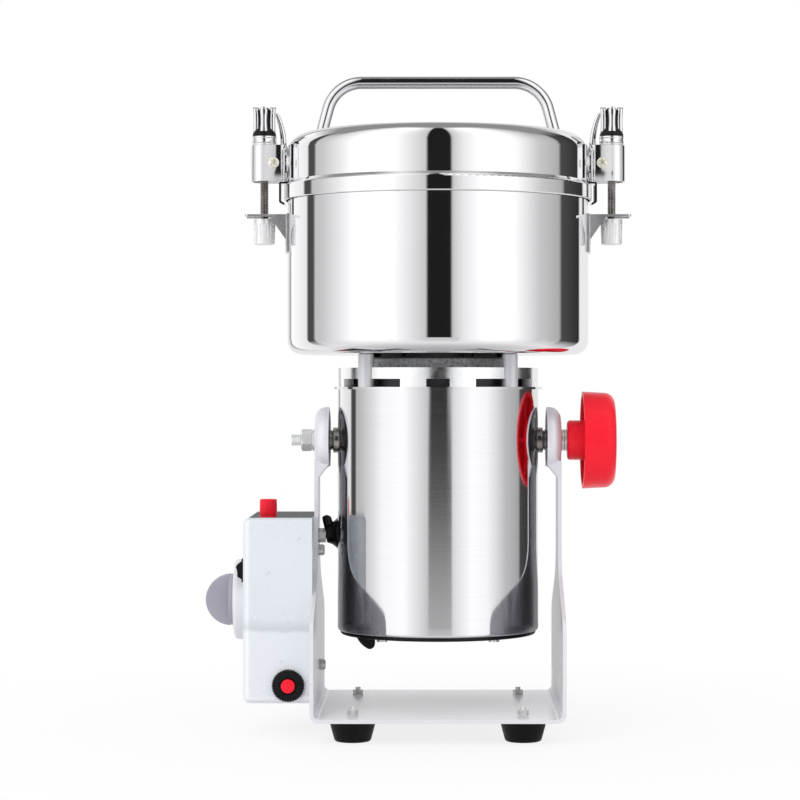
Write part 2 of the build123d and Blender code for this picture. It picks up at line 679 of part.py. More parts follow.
def tilt_knob():
    """Moulded knob: a hub and a deep cup that opens toward the stand."""
    hub_r = TILT_HUB_D / 2
    cup_r = TILT_CUP_D / 2
    floor = TILT_OUT - TILT_CUP_WALL
    hub = rod_x(hub_r, TILT_HUB_X, floor, 0, PIVOT_Z)
    hub = fillet(hub.edges().group_by(Axis.X)[0], TILT_HUB_EDGE_R)
    cup = Pos(TILT_CUP_X, 0, PIVOT_Z) * Rot(0, 90, 0) * Cone(
        cup_r, cup_r - TILT_CUP_DRAFT, TILT_CUP_L, align=BASE)
    cup = fillet(cup.edges().group_by(Axis.X)[-1], TILT_CUP_R)
    hollow = Pos(TILT_CUP_X, 0, PIVOT_Z) * Rot(0, 90, 0) * Cone(
        cup_r - TILT_CUP_WALL, cup_r - TILT_CUP_WALL - TILT_CUP_DRAFT, TILT_CUP_L - TILT_CUP_WALL, align=BASE)
    hollow = fillet(hollow.edges().group_by(Axis.X)[-1], TILT_CUP_R - TILT_CUP_WALL)
    knob = cup - hollow + hub
    half = TILT_RIB_T / 2
    rib_out = cup_r - TILT_CUP_WALL + 0.5
    rib = block(TILT_CUP_X + TILT_RIB_INSET, floor + 0.5, hub_r - 1, rib_out, -half, half)
    for i in range(TILT_RIBS):
        knob += Pos(0, 0, PIVOT_Z) * Rot(i * 360 / TILT_RIBS, 0, 0) * rib
    return knob - rod_x(TILT_INSERT_D / 2, 0, TILT_HUB_X + TILT_INSERT_L, 0, PIVOT_Z)


def tilt_knob_insert():
    insert = rod_x(TILT_INSERT_D / 2, TILT_HUB_X, TILT_HUB_X + TILT_INSERT_L, 0, PIVOT_Z)
    return insert - rod_x(PIVOT_STUD_D / 2 + RUN_FIT, 0, TILT_HUB_X + TILT_INSERT_L - 1, 0, PIVOT_Z)


# ---- motor housing ----------------------------------------------------------------------
def motor_housing():
    r, z = HOUSING_R, HOUSING_BOTTOM_Z
    shell = revolve_z(
        (r - HOUSING_TAPER_W, z), (r, z + HOUSING_TAPER_H), (r, HOUSING_TOP - HOUSING_FLANGE_T),
        (r + HOUSING_FLANGE_W, HOUSING_TOP - HOUSING_FLANGE_T), (r + HOUSING_FLANGE_W, HOUSING_TOP),
        (HOUSING_IN, HOUSING_TOP), (HOUSING_IN, z + HOUSING_TAPER_H), (HOUSING_IN - HOUSING_TAPER_W, z))
    for side in (-1, 1):
        shell -= rod_x(PIVOT_STUD_D / 2, 0, side * STAND_W, 0, PIVOT_Z)
    return shell


def drain_hook():
    """Small fin under the cover that sheds drips, swept back like a shark's."""
    left = DRIP_INSET - HOUSING_R
    right = left + DRIP_W
    low = COVER_Z - DRIP_H
    high = COVER_Z + 0.5
    outline = ThreePointArc((left, high), (left + DRIP_W * 0.3, COVER_Z - DRIP_H * 0.62),
                            (right - DRIP_W * 0.36, low))
    outline += ThreePointArc((right - DRIP_W * 0.36, low), (right - DRIP_W * 0.1, low + DRIP_H * 0.1),
                             (right, COVER_Z - DRIP_H * 0.5))
    outline += Line((right, COVER_Z - DRIP_H * 0.5), (right, high)) + Line((right, high), (left, high))
    return Pos(0, DRIP_Y + DRIP_DEPTH / 2, 0) * extrude(Plane.XZ * make_face(outline), DRIP_DEPTH)


def housing_bottom_cover():
    outer = HOUSING_IN - HOUSING_TAPER_W
    cover = rod_z(HOUSING_R - HOUSING_TAPER_W, COVER_Z, HOUSING_BOTTOM_Z)
    cover = fillet(cover.edges().sort_by(Axis.Z)[0], 1.5)
    cover += ring_z(outer - 0.1, outer - 3, HOUSING_BOTTOM_Z, HOUSING_BOTTOM_Z + 3)
    slot = block(COVER_VENT_R - COVER_VENT_L / 2, COVER_VENT_R + COVER_VENT_L / 2,
                 -COVER_VENT_W / 2, COVER_VENT_W / 2, COVER_Z - 1, HOUSING_BOTTOM_Z + 1)
    cover = cut_all(cover, around(slot, COVER_VENTS, 15))
    cover += drain_hook()
    for x, y in housing_screw_spots():
        cover -= rod_z(SCREW_D / 2 + LOOSE_FIT, 0, HOUSING_BOTTOM_Z + 1, x, y)
    return cover


def on_circle(radius, count, start):
    angles = [math.radians(start + i * 360 / count) for i in range(count)]
    return [(radius * math.cos(a), radius * math.sin(a)) for a in angles]


def housing_screw_spots():
    return on_circle(HOUSING_IN - BRACKET_LEG_INSET, 4, 45)


def neck_screw_spots():
    return on_circle(NECK_RING_R - NECK_RING_WALL / 2, NECK_SLOTS // 2, 180 / NECK_SLOTS)


def housing_screws():
    screws = []
    for x, y in housing_screw_spots():
        head = rod_z(SCREW_HEAD_D / 2, COVER_Z - SCREW_HEAD_H, COVER_Z, x, y)
        screws.append(head + rod_z(SCREW_D / 2, COVER_Z, BRACKET_TOP - 1, x, y))
    for x, y in neck_screw_spots():
        screws.append(rod_z(SCREW_D / 2, END_DISC_Z + 1, BOWL_Z - NECK_SLOT_H, x, y))
    return screws


# ---- motor ------------------------------------------------------------------------------
def lower_bracket():
    """Disc with a bearing boss, standing on four legs from the bottom cover."""
    z0, z1 = LOWER_BRACKET_Z, BRACKET_TOP
    disc = rod_z(HOUSING_IN, z0, z1)
    boss_r = BEARING_R + BEARING_BOSS_WALL
    boss = rod_z(boss_r, z0, LOWER_BEARING_Z + BEARING_W)
    bracket = disc + boss - rod_z(BEARING_R, LOWER_BEARING_Z, LOWER_BEARING_Z + BEARING_W + 1)
    bracket -= rod_z(SHAFT_R + 1.5, z0 - 1, z1 + 1)
    window = ring_z(FRAME_IN - 2, boss_r + 4, z0 - 1, z1 + 1)
    spoke = block(-HOUSING_R, HOUSING_R, -BRACKET_SPOKE_W / 2, BRACKET_SPOKE_W / 2, z0 - 1, z1 + 1)
    window = cut_all(window, [Rot(0, 0, 45) * spoke, Rot(0, 0, 135) * spoke])
    bracket -= window
    for x, y in housing_screw_spots():
        bracket += rod_z(BRACKET_LEG_R, HOUSING_BOTTOM_Z, z0, x, y)
        bracket -= rod_z(SCREW_D / 2, 0, z1 - 1, x, y)
    return bracket


def end_bracket():
    """Top end shield: flat disc, bearing boss, and tabs that stand on the housing's flange."""
    disc = rod_z(END_DISC_R, END_DISC_Z, END_DISC_TOP)
    boss_r = BEARING_R + BEARING_BOSS_WALL
    bracket = disc + rod_z(boss_r, UPPER_BEARING_Z - 3, END_DISC_Z)
    bracket += ring_z(FRAME_R, FRAME_IN, FRAME_TOP, END_DISC_Z)
    tab = block(-TAB_W / 2, TAB_W / 2, -END_DISC_R, -END_DISC_R + TAB_RING_T, HOUSING_TOP, END_DISC_Z)
    tab = tab & rod_z(END_DISC_R, HOUSING_TOP, END_DISC_Z)
    for side in (-1, 1):
        for shape in around(Rot(0, 0, side * TAB_PAIR_ANGLE) * tab, 4):
            bracket += shape
    bracket -= rod_z(BEARING_R, UPPER_BEARING_Z, END_DISC_TOP + 1)
    bracket -= rod_z(SHAFT_R + 1.5, 0, END_DISC_TOP + 1)
    notch = rod_z(POST_D / 2 + LOOSE_FIT, 0, BOWL_Z, POST_RADIUS, 0)
    bracket = cut_all(bracket, around(notch, 4, 45))
    for x, y in neck_screw_spots():
        bracket -= rod_z(SCREW_D / 2, END_DISC_Z + 1, BOWL_Z, x, y)
    return bracket


def bearing(z0):
    z1 = z0 + BEARING_W
    race = 3.2
    groove = 0.8
    inner_r = SHAFT_R + RUN_FIT
    outer = ring_z(BEARING_R, BEARING_R - race, z0, z1)
    inner = ring_z(SHAFT_R + race, inner_r, z0, z1)
    shield = ring_z(BEARING_R - race, SHAFT_R + race, z0 + groove, z1 - groove)
    return outer + inner + shield


def bearings():
    return [bearing(LOWER_BEARING_Z), bearing(UPPER_BEARING_Z)]


def motor_frame():
    return ring_z(FRAME_R, FRAME_IN, BRACKET_TOP, FRAME_TOP)


def stator_core():
    """Laminated ring with two salient poles around the rotor."""
    z0, z1 = ROTOR_Z, ROTOR_Z + STATOR_L
    yoke = ring_z(FRAME_IN, COIL_OUT, z0, z1)
    poles = ring_z(FRAME_IN - 1, STATOR_BORE, z0, z1)
    sector = math.radians(STATOR_POLE_ARC / 2)
    reach = 2 * FRAME_R
    across = reach * math.cos(sector)
    up = reach * math.sin(sector)
    wedge = make_face(Polyline((0, 0), (across, up), (reach, 0), (across, -up), close=True))
    sector_solid = Pos(0, 0, z0) * extrude(wedge, STATOR_L)
    half = STATOR_POLE_W / 2
    coil_room = ring_z(COIL_OUT, STATOR_BORE + STATOR_SHOE_T, z0, z1)
    coil_room -= block(-FRAME_R, FRAME_R, -half, half, z0, z1)
    poles = poles & (sector_solid + mirrored(sector_solid))
    return yoke + (poles - coil_room)


def field_coils():
    """One racetrack coil round each stator pole."""
    z0 = ROTOR_Z - COIL_END_H
    z1 = ROTOR_Z + STATOR_L + COIL_END_H
    inner_r = STATOR_BORE + STATOR_SHOE_T + COIL_ROOM
    outer_r = COIL_OUT - COIL_ROOM
    half_in = STATOR_POLE_W / 2 + COIL_ROOM
    half_out = STATOR_POLE_W / 2 + COIL_SIDE_W
    outer = block(0, outer_r, -half_out, half_out, z0, z1)
    hole = block(0, FRAME_R, -half_in, half_in, ROTOR_Z - COIL_ROOM, ROTOR_Z + STATOR_L + COIL_ROOM)
    coil = (outer - hole) & ring_z(outer_r, inner_r, z0, z1)
    return [coil, mirrored(coil)]


def brush_gear():
    """Two brush boxes on the lower bracket, each with its carbon brush."""
    z_mid = COMMUTATOR_Z + COMMUTATOR_L / 2
    half = BRUSH_W / 2
    wall = BRUSH_BOX_WALL
    start = COMMUTATOR_R + GAP
    brush = block(start, start + BRUSH_L, -half, half, z_mid - half, z_mid + half)
    box_in = start + BRUSH_BOX_INSET
    box_out = box_in + BRUSH_BOX_L
    holder = block(box_in, box_out, -half - wall, half + wall, BRACKET_TOP, z_mid + half + wall)
    holder -= block(box_in - 1, box_out - wall, -half, half, z_mid - half, z_mid + half)
    bridge_room = rod_z(BEARING_R + BEARING_BOSS_WALL, 0, LOWER_BEARING_Z + BEARING_W)
    side = [brush, holder - bridge_room]
    return side + [mirrored(piece) for piece in side]


# ---- rotor ------------------------------------------------------------------------------
def motor_shaft():
    bottom = FAN_Z - 4
    top = BLADE_NUT_Z + BLADE_NUT_H - 2
    shaft = rod_z(SHAFT_R, bottom, top)
    return chamfer(shaft.edges().group_by(Axis.Z)[0] + shaft.edges().group_by(Axis.Z)[-1], 1.0)


def on_shaft(shape):
    return shape - rod_z(SHAFT_R, 0, 2 * BOWL_TOP)


def rotor_core():
    z0, z1 = ROTOR_Z, ROTOR_Z + STATOR_L
    core = rod_z(ROTOR_R, z0, z1)
    half = ROTOR_SLOT_W / 2
    slot = block(ROTOR_R - ROTOR_SLOT_DEPTH, ROTOR_R + 1, -half, half, z0 - 1, z1 + 1)
    core = on_shaft(cut_all(core, around(slot, ROTOR_SLOTS)))
    lower = ring_z(ROTOR_R - 2, SHAFT_R, z0 - WINDING_H, z0)
    upper = ring_z(ROTOR_R - 2, SHAFT_R, z1, z1 + WINDING_H)
    lower = fillet(lower.edges().group_by(Axis.Z)[0].sort_by(SortBy.LENGTH)[-1], 4)
    upper = fillet(upper.edges().group_by(Axis.Z)[-1].sort_by(SortBy.LENGTH)[-1], 4)
    return [core, lower, upper]


def commutator():
    z0, z1 = COMMUTATOR_Z, COMMUTATOR_Z + COMMUTATOR_L
    return on_shaft(rod_z(COMMUTATOR_R, z0, z1) + rod_z(COMMUTATOR_R + 2, z1, z1 + 2))


def cooling_fan():
    z0 = FAN_Z
    hub = rod_z(SHAFT_R + 5, z0, z0 + FAN_T + FAN_BLADE_H)
    fan = rod_z(FAN_R, z0, z0 + FAN_T) + hub
    arc_r = FAN_R * 0.8
    blade = ring_z(arc_r, arc_r - FAN_T, z0 + FAN_T, z0 + FAN_T + FAN_BLADE_H)
    blade = Pos(arc_r * 0.9, arc_r * 0.72, 0) * blade
    blade = blade & ring_z(FAN_R, SHAFT_R + 8, z0, z0 + FAN_T + FAN_BLADE_H)
    blade = blade & block(0, FAN_R, -FAN_R, FAN_R, 0, BOWL_Z)
    for shape in around(blade, FAN_BLADES):
        fan += shape
    return on_shaft(fan)


# ---- blades -----------------------------------------------------------------------------
def blade_outline(reach):
    """Half a blade: a swept arm with a straight trailing edge and a curved leading edge."""
    root, tip = BLADE_ROOT_W / 2, BLADE_TIP_W / 2
    lead = ThreePointArc((0, root), (reach * 0.55, root * 0.72), (reach, tip * 0.2))
    end = Line((reach, tip * 0.2), (reach - 4, -tip))
    trail = Line((reach - 4, -tip), (0, -root))
    close = Line((0, -root), (0, root))
    return make_face(lead + end + trail + close)


def flat_blade(reach, z):
    half = extrude(blade_outline(reach), BLADE_T)
    edge = Pos(reach * 0.62, BLADE_ROOT_W / 2, BLADE_T) * Rot(35, 0, -9) * Box(reach * 0.7, 9, BLADE_T)
    half = half - edge
    blade = half + Rot(0, 0, 180) * half
    return Pos(0, 0, z) * blade


def lower_blade():
    return on_shaft(flat_blade(LOWER_BLADE_R, LOWER_BLADE_BASE))


def upper_blade():
    """Crossed blade whose tips are turned up."""
    blade = flat_blade(UPPER_BLADE_R, UPPER_BLADE_BASE)
    tip_out = UPPER_BLADE_R - 1.2
    tip = block(tip_out - BLADE_UPTURN_T, tip_out, 1 - BLADE_TIP_W / 2, 0.5, BLADE_T - 1, BLADE_UPTURN_H)
    tip = Pos(0, 0, UPPER_BLADE_BASE) * tip
    blade = blade + tip + Rot(0, 0, 180) * tip
    return on_shaft(Rot(0, 0, 90) * blade)


def blade_spacers():
    spacer_r = SPACER_D / 2
    lower = ring_z(spacer_r, SHAFT_R, BOWL_FLOOR + GAP, LOWER_BLADE_BASE)
    middle = ring_z(spacer_r, SHAFT_R, LOWER_BLADE_BASE + BLADE_T, UPPER_BLADE_BASE)
    return [lower, middle]


def blade_nut():
    hex_top = BLADE_NUT_Z + BLADE_NUT_H * 0.7
    nut = hex_z(BLADE_NUT_AF, BLADE_NUT_Z, hex_top)
    dome = Pos(0, 0, BLADE_NUT_Z + BLADE_NUT_H * 0.2) * Sphere(BLADE_NUT_AF / 2)
    dome = dome & rod_z(BLADE_NUT_AF, hex_top - 0.5, BLADE_NUT_Z + 2 * BLADE_NUT_H)
    return nut + dome - rod_z(SHAFT_R, 0, BLADE_NUT_Z + BLADE_NUT_H - 2)


# ---- neck and bowl ----------------------------------------------------------------------
def support_posts():
    post = rod_z(POST_D / 2, HOUSING_TOP, BOWL_Z, POST_RADIUS, 0)
    post = fillet(post.edges().group_by(Axis.Z)[-1], 1.0)
    return around(post, 4, 45)


def neck_ring():
    """Cast seat of the bowl, with a hub that holds the shaft seal."""
    ring = ring_z(NECK_RING_R, NECK_RING_R - NECK_RING_WALL, END_DISC_TOP, BOWL_Z)
    web = ring_z(NECK_RING_R - NECK_RING_WALL + 0.5, SEAL_R, END_DISC_TOP + 2, BOWL_Z - 3)
    hub = ring_z(SEAL_R + 4, SEAL_R, END_DISC_TOP + 2, BOWL_Z)
    neck = ring + web + hub
    slot = block(NECK_RING_R - NECK_RING_WALL / 2, NECK_RING_R + 1, -NECK_SLOT_W / 2, NECK_SLOT_W / 2,
                 BOWL_Z - NECK_SLOT_H, BOWL_Z + 1)
    neck = cut_all(neck, around(slot, NECK_SLOTS, 180 / NECK_SLOTS))
    for x, y in neck_screw_spots():
        neck -= rod_z(SCREW_D / 2, 0, BOWL_Z + 1, x, y)
    return neck


def shaft_seal():
    return ring_z(SEAL_R, SHAFT_R + RUN_FIT, END_DISC_TOP + 2, BOWL_Z)


def grinding_bowl():
    outer = rod_z(BOWL_R, BOWL_Z, BOWL_TOP)
    outer = fillet(outer.edges().group_by(Axis.Z)[0], BOWL_BOTTOM_R)
    inner = rod_z(BOWL_IN, BOWL_FLOOR, BOWL_TOP + 1)
    inner = fillet(inner.edges().group_by(Axis.Z)[0], BOWL_BOTTOM_R - BOWL_WALL)
    bowl = outer - inner
    curl = ring_z(BOWL_R, BOWL_IN - BOWL_CURL_W, BOWL_TOP - BOWL_CURL_H, BOWL_TOP)
    bowl += fillet(curl.edges().group_by(Axis.Z)[-1], 0.5)
    return bowl - rod_z(SHAFT_R + 0.6, 0, BOWL_FLOOR + 1)


def right_bowl_bracket():
    """Welded bracket: curved saddle, forked flange for the rod, and two gussets."""
    saddle = ring_z(BOWL_R + BOWL_SADDLE_T, BOWL_R, FLANGE_TOP_Z - BOWL_SADDLE_H, FLANGE_TOP_Z)
    half_w = BOWL_SADDLE_W / 2
    saddle = saddle & block(0, 2 * BOWL_R, -half_w, half_w, 0, BOWL_TOP)
    half = FLANGE_W / 2
    flange = block(BOWL_R - 4, FLANGE_OUT, -half, half, FLANGE_BOTTOM, FLANGE_TOP_Z)
    flange = fillet(flange.edges().filter_by(Axis.Z).group_by(Axis.X)[-1], 2.0)
    seat_half = ROD_R + GAP
    seat = rod_z(seat_half, 0, BOWL_TOP, CLAMP_ROD_X)
    seat += block(CLAMP_ROD_X, FLANGE_OUT + 1, -seat_half, seat_half, 0, BOWL_TOP)
    mouth_half = FLANGE_MOUTH_W / 2
    mouth = block(FLANGE_SEAT_OUT, FLANGE_OUT + 1, -mouth_half, mouth_half, 0, BOWL_TOP)
    flange = flange - seat - mouth
    top = FLANGE_BOTTOM + 0.2
    low = FLANGE_TOP_Z - GUSSET_H
    gusset = Polyline((BOWL_R - 2, top), (GUSSET_OUT, top), (BOWL_R - 2, low), close=True)
    rib = extrude(Plane.XZ * make_face(gusset), GUSSET_T)
    ribs = Pos(0, half, 0) * rib + Pos(0, GUSSET_T - half, 0) * rib
    return saddle + (flange + ribs - rod_z(BOWL_R, 0, BOWL_TOP))


def bowl_brackets():
    return [right_bowl_bracket(), mirrored(right_bowl_bracket())]


# ---- lid --------------------------------------------------------------------------------
def lid():
    """Pressed lid: flat top, round shoulder, straight wall and a skirt over the bowl's rim."""
    outer = rod_z(LID_R, SKIRT_TOP_Z - LID_WALL, LID_TOP_Z)
    outer = fillet(outer.edges().group_by(Axis.Z)[-1], LID_SHOULDER_R)
    inner = rod_z(LID_R - LID_WALL, SKIRT_TOP_Z - 2, LID_TOP_Z - LID_WALL)
    inner = fillet(inner.edges().group_by(Axis.Z)[-1], LID_SHOULDER_R - LID_WALL)
    skirt = rod_z(SKIRT_R, SKIRT_BOTTOM_Z, SKIRT_TOP_Z)
    skirt = fillet(skirt.edges().group_by(Axis.Z)[-1], SKIRT_EDGE_R)
    skirt = fillet(skirt.edges().group_by(Axis.Z)[0], LID_WALL * 0.6)
    skirt -= rod_z(SKIRT_IN, SKIRT_BOTTOM_Z - 1, SKIRT_TOP_Z - LID_WALL)
    shell = outer + skirt - inner
    for side in (-1, 1):
        shell -= rod_z(HANDLE_THREAD_D / 2 + LOOSE_FIT, SKIRT_TOP_Z, HANDLE_TOP_Z, side * HANDLE_FOOT_X)
        for angle in (-rivet_angle(), rivet_angle()):
            shell -= Rot(0, 0, angle) * rod_x(RIVET_D / 4, 0, side * 2 * LID_R, 0, CLAMP_PIVOT_Z)
    return shell


def lid_gasket():
    outer = SKIRT_IN - 0.1
    ring = ring_z(outer, outer - GASKET_W, GASKET_BOTTOM, GASKET_TOP)
    return fillet(ring.edges().group_by(Axis.Z)[0], 0.6)


def lid_handle():
    """Round bar bent over the lid, with a threaded end at each foot."""
    top = HANDLE_TOP_Z - HANDLE_D / 2
    start = LID_TOP_Z - HANDLE_D
    slope = (HANDLE_FOOT_X - HANDLE_CORNER_X) / (top - LID_TOP_Z)
    low_x = HANDLE_FOOT_X + slope * HANDLE_D
    path = FilletPolyline((-low_x, 0, start), (-HANDLE_CORNER_X, 0, top), (HANDLE_CORNER_X, 0, top),
                          (low_x, 0, start), radius=HANDLE_BEND_R)
    section = Plane(origin=path @ 0, z_dir=path % 0) * Circle(HANDLE_D / 2)
    bar = sweep(section, path=path)
    bar -= rod_z(BOWL_R, 0, LID_TOP_Z)
    collar_r = HANDLE_D / 2 + HANDLE_COLLAR_W
    for side in (-1, 1):
        x = side * HANDLE_FOOT_X
        bar += rod_z(collar_r, LID_TOP_Z, LID_TOP_Z + HANDLE_COLLAR_T, x)
        bar += rod_z(HANDLE_THREAD_D / 2, LID_TOP_Z - HANDLE_THREAD_L, LID_TOP_Z + 1, x)
    return bar


def rivet_angle():
    return math.degrees(math.asin(RIVET_PITCH / 2 / (LID_R + SADDLE_T)))


def rivet(side, angle):
    """Dome-headed rivet through the bracket's saddle and the lid's wall."""
    reach = LID_R + SADDLE_T
    head = rod_x(RIVET_D / 2, reach - 0.4, reach + RIVET_PROUD, 0, CLAMP_PIVOT_Z)
    head = fillet(head.edges().group_by(Axis.X)[-1], 1.0)
    shape = head - rod_z(reach, 0, 2 * BOWL_TOP)
    shape += rod_x(RIVET_D / 4, LID_R - LID_WALL - 1, reach + 0.5, 0, CLAMP_PIVOT_Z)
    shape = Rot(0, 0, angle) * shape
    return shape if side > 0 else mirrored(shape)


def pivot_screw():
    half = YOKE_W / 2
    shank = rod_y(CLAMP_PIVOT_D / 2, -half - 0.5, half + 2.5, CLAMP_PIVOT_X, CLAMP_PIVOT_Z)
    head = rod_y(PIVOT_SCREW_HEAD_D / 2, -half - PIVOT_SCREW_HEAD_H, -half, CLAMP_PIVOT_X, CLAMP_PIVOT_Z)
    head = fillet(head.edges().group_by(Axis.Y)[0], 1.2)
    cross = block(CLAMP_PIVOT_X - 2, CLAMP_PIVOT_X + 2, -half - 3, -half - 0.8,
                  CLAMP_PIVOT_Z - 0.45, CLAMP_PIVOT_Z + 0.45)
    turned = cross.rotate(Axis((CLAMP_PIVOT_X, 0, CLAMP_PIVOT_Z), (0, 1, 0)), 90)
    nut = rod_y(PIVOT_SCREW_HEAD_D / 2, half, half + 2, CLAMP_PIVOT_X, CLAMP_PIVOT_Z)
    return shank + head + nut - cross - turned


def lid_fasteners():
    pieces = [rivet(side, angle) for side in (-1, 1) for angle in (-rivet_angle(), rivet_angle())]
    pieces += [pivot_screw(), mirrored(pivot_screw())]
    under = LID_TOP_Z - LID_WALL
    for side in (-1, 1):
        x = side * HANDLE_FOOT_X
        nut = hex_z(HANDLE_NUT_AF, under - HANDLE_NUT_H, under, x)
        pieces.append(nut - rod_z(HANDLE_THREAD_D / 2, 0, under + 1, x))
    return pieces


def bracket_tail():
    """Strip below the saddle that steps out over the skirt and hooks in under its edge."""
    x0 = LID_R + SADDLE_T / 2
    x1 = SKIRT_R + TAIL_OUT
    top = SADDLE_BOTTOM_Z + TAIL_T
    bend = (SKIRT_TOP_Z + SADDLE_BOTTOM_Z) / 2
    low = SKIRT_BOTTOM_Z - TAIL_BOTTOM
    path = FilletPolyline((x0, top), (x0, bend), (x1, bend), (x1, low), (x1 - TAIL_OUT, low - TAIL_T),
                          radius=TAIL_T * 0.55)
    outline = offset(path, TAIL_T / 2, side=Side.BOTH)
    strip = extrude(Plane.XZ * make_face(outline), TAIL_W / 2, both=True)
    return strip


def right_lid_bracket():
    """Curved saddle on the lid's wall, with two ears for the clamp's pivot screw."""
    outer = LID_R + SADDLE_T
    saddle = ring_z(outer, LID_R, SADDLE_BOTTOM_Z, SADDLE_TOP_Z)
    half_w = SADDLE_W / 2
    saddle = saddle & block(0, 2 * LID_R, -half_w, half_w, 0, LID_TOP_Z)
    ear_out = YOKE_LEG_Y - 0.1
    ear = block(LID_R - 3, CLAMP_PIVOT_X, ear_out - EAR_PLATE_T, ear_out,
                CLAMP_PIVOT_Z - EAR_PLATE_R, CLAMP_PIVOT_Z + EAR_PLATE_R)
    ear += rod_y(EAR_PLATE_R, ear_out - EAR_PLATE_T, ear_out, CLAMP_PIVOT_X, CLAMP_PIVOT_Z)
    ears = ear + mirror(ear, Plane.XZ)
    bracket = saddle + bracket_tail() + (ears - rod_z(LID_R, 0, 2 * BOWL_TOP))
    bracket -= rod_y(CLAMP_PIVOT_D / 2, -YOKE_W, YOKE_W, CLAMP_PIVOT_X, CLAMP_PIVOT_Z)
    for angle in (-rivet_angle(), rivet_angle()):
        bracket -= Rot(0, 0, angle) * rod_x(RIVET_D / 4, 0, 2 * LID_R, 0, CLAMP_PIVOT_Z)
    return bracket


def horn():
    """Narrow tongue that rises behind the knob and leans outward at its tip."""
    root = YOKE_IN + HORN_W
    low = (root, YOKE_TOP_Z - 1)
    mid = (root - HORN_LEAN / 8, (YOKE_TOP_Z + HORN_TOP_Z) / 2)
    high = (root + HORN_LEAN, HORN_TOP_Z)
    tip = (high[0] - HORN_W * 0.7, high[1] + 0.6)
    back_low = (low[0] - HORN_W, low[1])
    outline = ThreePointArc(low, mid, high) + Line(high, tip)
    outline += ThreePointArc(tip, (mid[0] - HORN_W, mid[1]), back_low) + Line(back_low, low)
    return extrude(Plane.XZ * make_face(outline), YOKE_WALL)


def right_yoke():
    """Sheet wrapped round the clamp's swivel block, with a curled horn behind the knob."""
    def plan(inset):
        outline = block(YOKE_IN, YOKE_OUT - inset, -YOKE_W / 2 + inset, YOKE_W / 2 - inset,
                        YOKE_BOTTOM_Z, YOKE_TOP_Z)
        return fillet(outline.edges().filter_by(Axis.Z).group_by(Axis.X)[-1], YOKE_END_R - inset)
    yoke = plan(0) - plan(YOKE_WALL)
    yoke -= block(YOKE_IN - 1, CLAMP_PIVOT_X, -YOKE_LEG_Y, YOKE_LEG_Y, 0, LID_TOP_Z)
    yoke -= rod_y(CLAMP_PIVOT_D / 2, -YOKE_W, YOKE_W, CLAMP_PIVOT_X, CLAMP_PIVOT_Z)
    return yoke + Pos(0, YOKE_W / 2, 0) * horn()


def lid_brackets():
    return [right_lid_bracket(), mirrored(right_lid_bracket())]


def clamp_yokes():
    return [right_yoke(), mirrored(right_yoke())]


# ---- clamps, right side; the left is the mirror image ------------------------------------
def guide_block():
    """Swivel block: a knuckle on the pivot screw and a tall boss for the rod."""
    half = BLOCK_W / 2
    top = BLOCK_TOP_Z
    boss = block(CLAMP_ROD_X - BLOCK_BACK, CLAMP_ROD_X + BLOCK_FRONT, -half, half, BLOCK_BOTTOM_Z, top)
    boss = chamfer(boss.edges().filter_by(Axis.Y).group_by(Axis.X)[-1].sort_by(Axis.Z)[0], 2.0)
    knuckle = rod_y(BLOCK_KNUCKLE_R, -half, half, CLAMP_PIVOT_X, CLAMP_PIVOT_Z)
    body = boss + knuckle
    body -= rod_y(CLAMP_PIVOT_D / 2 + RUN_FIT, -YOKE_W, YOKE_W, CLAMP_PIVOT_X, CLAMP_PIVOT_Z)
    body -= rod_z(ROD_R + RUN_FIT, 0, LID_TOP_Z, CLAMP_ROD_X)
    washer = rod_z(CLAMP_WASHER_D / 2, top, top + CLAMP_WASHER_T, CLAMP_ROD_X)
    washer -= rod_z(ROD_R + RUN_FIT, 0, LID_TOP_Z, CLAMP_ROD_X)
    return [body, washer]


def knob_finger():
    """One upright finger of the knob: waisted, round at its top, rooted in the dome."""
    out = KNOB_COLLAR_D / 2 - KNOB_FINGER_INSET
    half = KNOB_FINGER_W / 2
    low = KNOB_COLLAR_TOP + KNOB_DOME_H - KNOB_FINGER_SINK
    finger = block(out - KNOB_FINGER_T, out, -half, half, low, KNOB_FINGER_TOP_Z)
    finger = fillet(finger.edges().filter_by(Axis.X).group_by(Axis.Z)[-1], half - 0.4)
    finger = fillet(finger.edges().filter_by(Axis.Z), 0.7)
    waist_r = KNOB_FINGER_TOP_Z - low
    waist_x = out + waist_r - KNOB_FINGER_WAIST
    waist = rod_y(waist_r, -KNOB_FINGER_W, KNOB_FINGER_W, waist_x, (low + KNOB_FINGER_TOP_Z) / 2)
    return finger - waist


